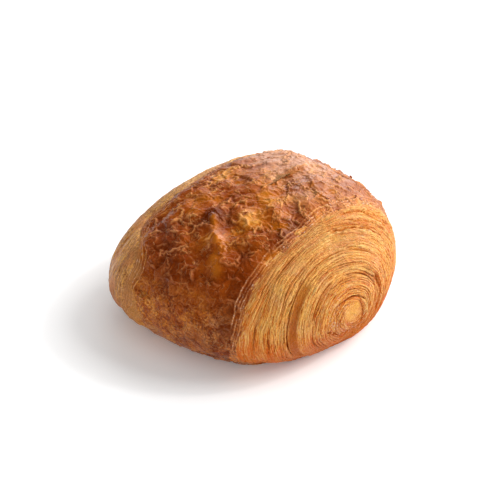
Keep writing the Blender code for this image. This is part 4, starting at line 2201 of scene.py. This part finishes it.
@dataclass
class Studio:
    """The floor, the soft light and the camera.

    Attributes:
        azimuth: The camera's angle round the roll from the roll's side, in degrees.
        elevation: Its angle above the floor, in degrees.
        distance: How far it is from what it looks at.
        target: What it looks at.
        lens: Its focal length in millimetres.
        shift: How far the picture is shifted, as a share of its width.
        floor_half: Half the floor's width.
        floor_faces: How many faces it has each way.
        key: The main light's azimuth, elevation and spread in degrees, and its strength.
        glint: The same of its bright middle.
        back: The same of the light across from the camera.
        front: The same of the soft light beside the camera.
        fill: The strength of the even light from all round.
    """

    azimuth: float = 43.645
    elevation: float = 33.884
    distance: float = 1.007756
    target: tuple[float, float, float] = (0.0, 0.0, 25.0 * MM)
    lens: float = 191.34
    shift: tuple[float, float] = (-0.022318, -0.005582)
    floor_half: float = 8.0
    floor_faces: int = 8
    key: tuple[float, float, float, float] = (151.0, 36.0, 46.0, 2.7)
    glint: tuple[float, float, float, float] = (150.0, 40.0, 5.0, 0.5)
    back: tuple[float, float, float, float] = (205.0, 24.0, 60.0, 1.4)
    front: tuple[float, float, float, float] = (60.0, 42.0, 90.0, 0.5)
    fill: float = 0.42

    def direction(self, azimuth: float, elevation: float) -> Vector:
        """The direction from the roll to this azimuth and elevation, in degrees."""
        around, above = math.radians(azimuth), math.radians(elevation)
        level = math.cos(above)
        return Vector((math.sin(around) * level, -math.cos(around) * level, math.sin(above)))

    def place_camera(self) -> None:
        """Adds the camera where the picture was taken from."""
        back = self.direction(self.azimuth, self.elevation)
        data = bpy.data.cameras.new("camera")
        data.lens = self.lens
        data.shift_x, data.shift_y = self.shift
        camera = bpy.data.objects.new("camera", data)
        camera.location = Vector(self.target) + back * self.distance
        camera.rotation_euler = (-back).to_track_quat("-Z", "Y").to_euler()
        bpy.context.collection.objects.link(camera)
        bpy.context.scene.camera = camera

    def place_lights(self) -> None:
        """Adds a large soft key light with a bright middle, two weaker ones and an even fill."""
        lights = {"key": self.key, "glint": self.glint, "back": self.back, "front": self.front}
        for name, (azimuth, elevation, spread, strength) in lights.items():
            away = self.direction(azimuth, elevation)
            data = bpy.data.lights.new(name, "SUN")
            data.energy = strength
            data.angle = math.radians(spread)
            light = bpy.data.objects.new(name, data)
            light.rotation_euler = (-away).to_track_quat("-Z", "Y").to_euler()
            light.visible_glossy = name != "front"
            bpy.context.collection.objects.link(light)
        world = bpy.data.worlds.new("fill")
        world.use_nodes = True
        background = world.node_tree.nodes["Background"]
        background.inputs["Color"].default_value = WHITE
        background.inputs["Strength"].default_value = self.fill
        world.cycles_visibility.glossy = False
        bpy.context.scene.world = world

    def lay_floor(self) -> None:
        """Lays the floor that the roll rests on."""
        floor = Sheet("floor", self.floor_faces, self.floor_faces)
        side = np.linspace(-self.floor_half, self.floor_half, self.floor_faces + 1)
        x, y = np.meshgrid(side, side, indexing="ij")
        floor.place(np.stack((x, y, np.zeros_like(x)), axis=-1))
        floor.piece.data.materials.append(FloorFinish().material())

    def build(self) -> None:
        """Sets up all of it."""
        self.place_camera()
        self.place_lights()
        self.lay_floor()
        bpy.context.scene.view_settings.view_transform = "Standard"


def dress(pieces: Iterable[bpy.types.Object], finish: bpy.types.Material) -> None:
    """Gives pieces their finish and their place on the frame, and reports them.

    Args:
        pieces: The finished pieces.
        finish: Their material.
    """
    for piece in pieces:
        piece.data.materials.clear()
        piece.data.materials.append(finish)
        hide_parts(NODE)
        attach(piece, BODY)
        triangles = sum(len(face.vertices) - 2 for face in piece.data.polygons)
        log.info("%s: %d triangles", piece.name, triangles)


NEAR_SEAMS = (
    Seam(1.80, 128.0, 222.0, 1.5, 0.55),
    Seam(2.0, 85.0, 215.0, 0.24, 0.7),
    Seam(2.08, 60.0, 215.0, 0.18, -0.35),
    Seam(1.06, 112.0, 171.0, 0.35, 1.3),
    Seam(1.33, -28.0, 38.0, 0.9, 2.0),
    Seam(3.45, 20.0, 88.0, 0.55, 1.5, 0.9),
    Seam(3.56, 20.0, 88.0, 0.40, -0.9, 0.9),
    Seam(3.16, 15.0, 80.0, 0.36, 1.0, 0.8),
    Seam(3.25, 15.0, 80.0, 0.28, -0.6, 0.8),
    Seam(2.52, 35.0, 100.0, 1.3, 0.15, ribs=0.10),
    Seam(2.75, 30.0, 107.0, 0.45, -0.9, 1.1),
    Seam(2.88, 34.0, 96.0, 0.50, 1.3, 1.1),
    Seam(3.37, 140.0, 215.0, 0.18, -0.35),
    Seam(2.99, 140.0, 215.0, 0.18, -0.35),
    Seam(2.42, 135.0, 215.0, 0.18, -0.35),
    Seam(1.44, 120.0, 190.0, 0.18, -0.35),
    Seam(0.73, 130.0, 200.0, 0.18, -0.35),
)


NEAR_CREASES = (
    Crease(((-10.5, 26.5), (-8.2, 27.1), (-4.8, 27.3), (-0.4, 26.8), (3.3, 23.7)), 0.42, 0.9),
    Crease(((0.8, 24.2), (2.4, 20.6), (3.2, 17.3), (2.4, 14.3)), 0.42, 0.9),
    Crease(((2.4, 14.3), (-0.5, 13.6), (-3.3, 13.5)), 0.30, 0.4),
    Crease(((-10.9, 26.7), (-11.9, 24.7), (-11.2, 21.3), (-7.9, 16.7)), 0.30, 0.4),
    Crease(((-7.1, 12.0), (-3.6, 11.5), (0.3, 11.3), (4.3, 12.8)), 0.45, 0.8),
    Crease(((1.9, 24.9), (4.3, 20.4), (5.4, 15.9), (4.7, 12.3)), 0.40, -0.35),
    Crease(((-15.0, 16.4), (-13.6, 15.6)), 0.50, 0.9),
    Crease(((-11.6, 13.7), (-10.4, 13.5)), 0.45, 0.8),
    Crease(((-3.6, 9.9), (-2.4, 9.9)), 0.50, 0.8),
    Crease(((4.6, 9.3), (6.0, 9.5)), 0.45, 0.7),
)


NEAR_LIGHTER = (
    Patch((36.0, -28.0, 33.0), 13.0, 0.5),
    Patch((33.0, -38.0, 22.0), 9.0, 0.3),
    Patch((31.0, -27.0, 40.0), 9.0, 0.35),
)


NEAR_TUCKS = (
    Crease(((-26.0, 0.0), (-12.0, 0.0), (1.0, 3.0)), 3.6, 0.6),
    Crease(((-44.0, 2.0), (-28.0, 0.0)), 3.4, 1.5),
)


def main() -> None:
    """Builds the studio and every piece of the roll."""
    logging.basicConfig(level=logging.INFO, format="%(name)s: %(message)s")
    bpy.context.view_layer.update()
    Studio().build()
    crust, crust_points = Crust().build()
    dress(crust, CrustFinish().material())
    layers = LayerFinish().material()
    shaping = {"seams": NEAR_SEAMS, "creases": NEAR_CREASES, "tucks": NEAR_TUCKS}
    near_end = WoundEnd("near_end", NEAR_RIM, 48, 690, lighter=NEAR_LIGHTER, **shaping)
    dress(near_end.build(), layers)
    tones = ((0.12, Tone.TOAST), (0.45, Tone.TAN), (0.85, Tone.STRAW))
    toasted_and_shaded = LayerFinish("toasted_layers", tones, Tone.FLAKE, Tone.TOAST, drawn=0.5)
    shaping = {"reach": 0.975, "lively": 0.45, "toasting_and_shade": 0.0}
    far_end = WoundEnd("far_end", FAR_RIM, 32, 400, seed=40.0, **shaping)
    dress(far_end.build(), toasted_and_shaded.material())
    dress([Flakes().build(crust_points)], FlakeFinish().material())
    bpy.context.view_layer.update()


if __name__ == "__main__":
    main()
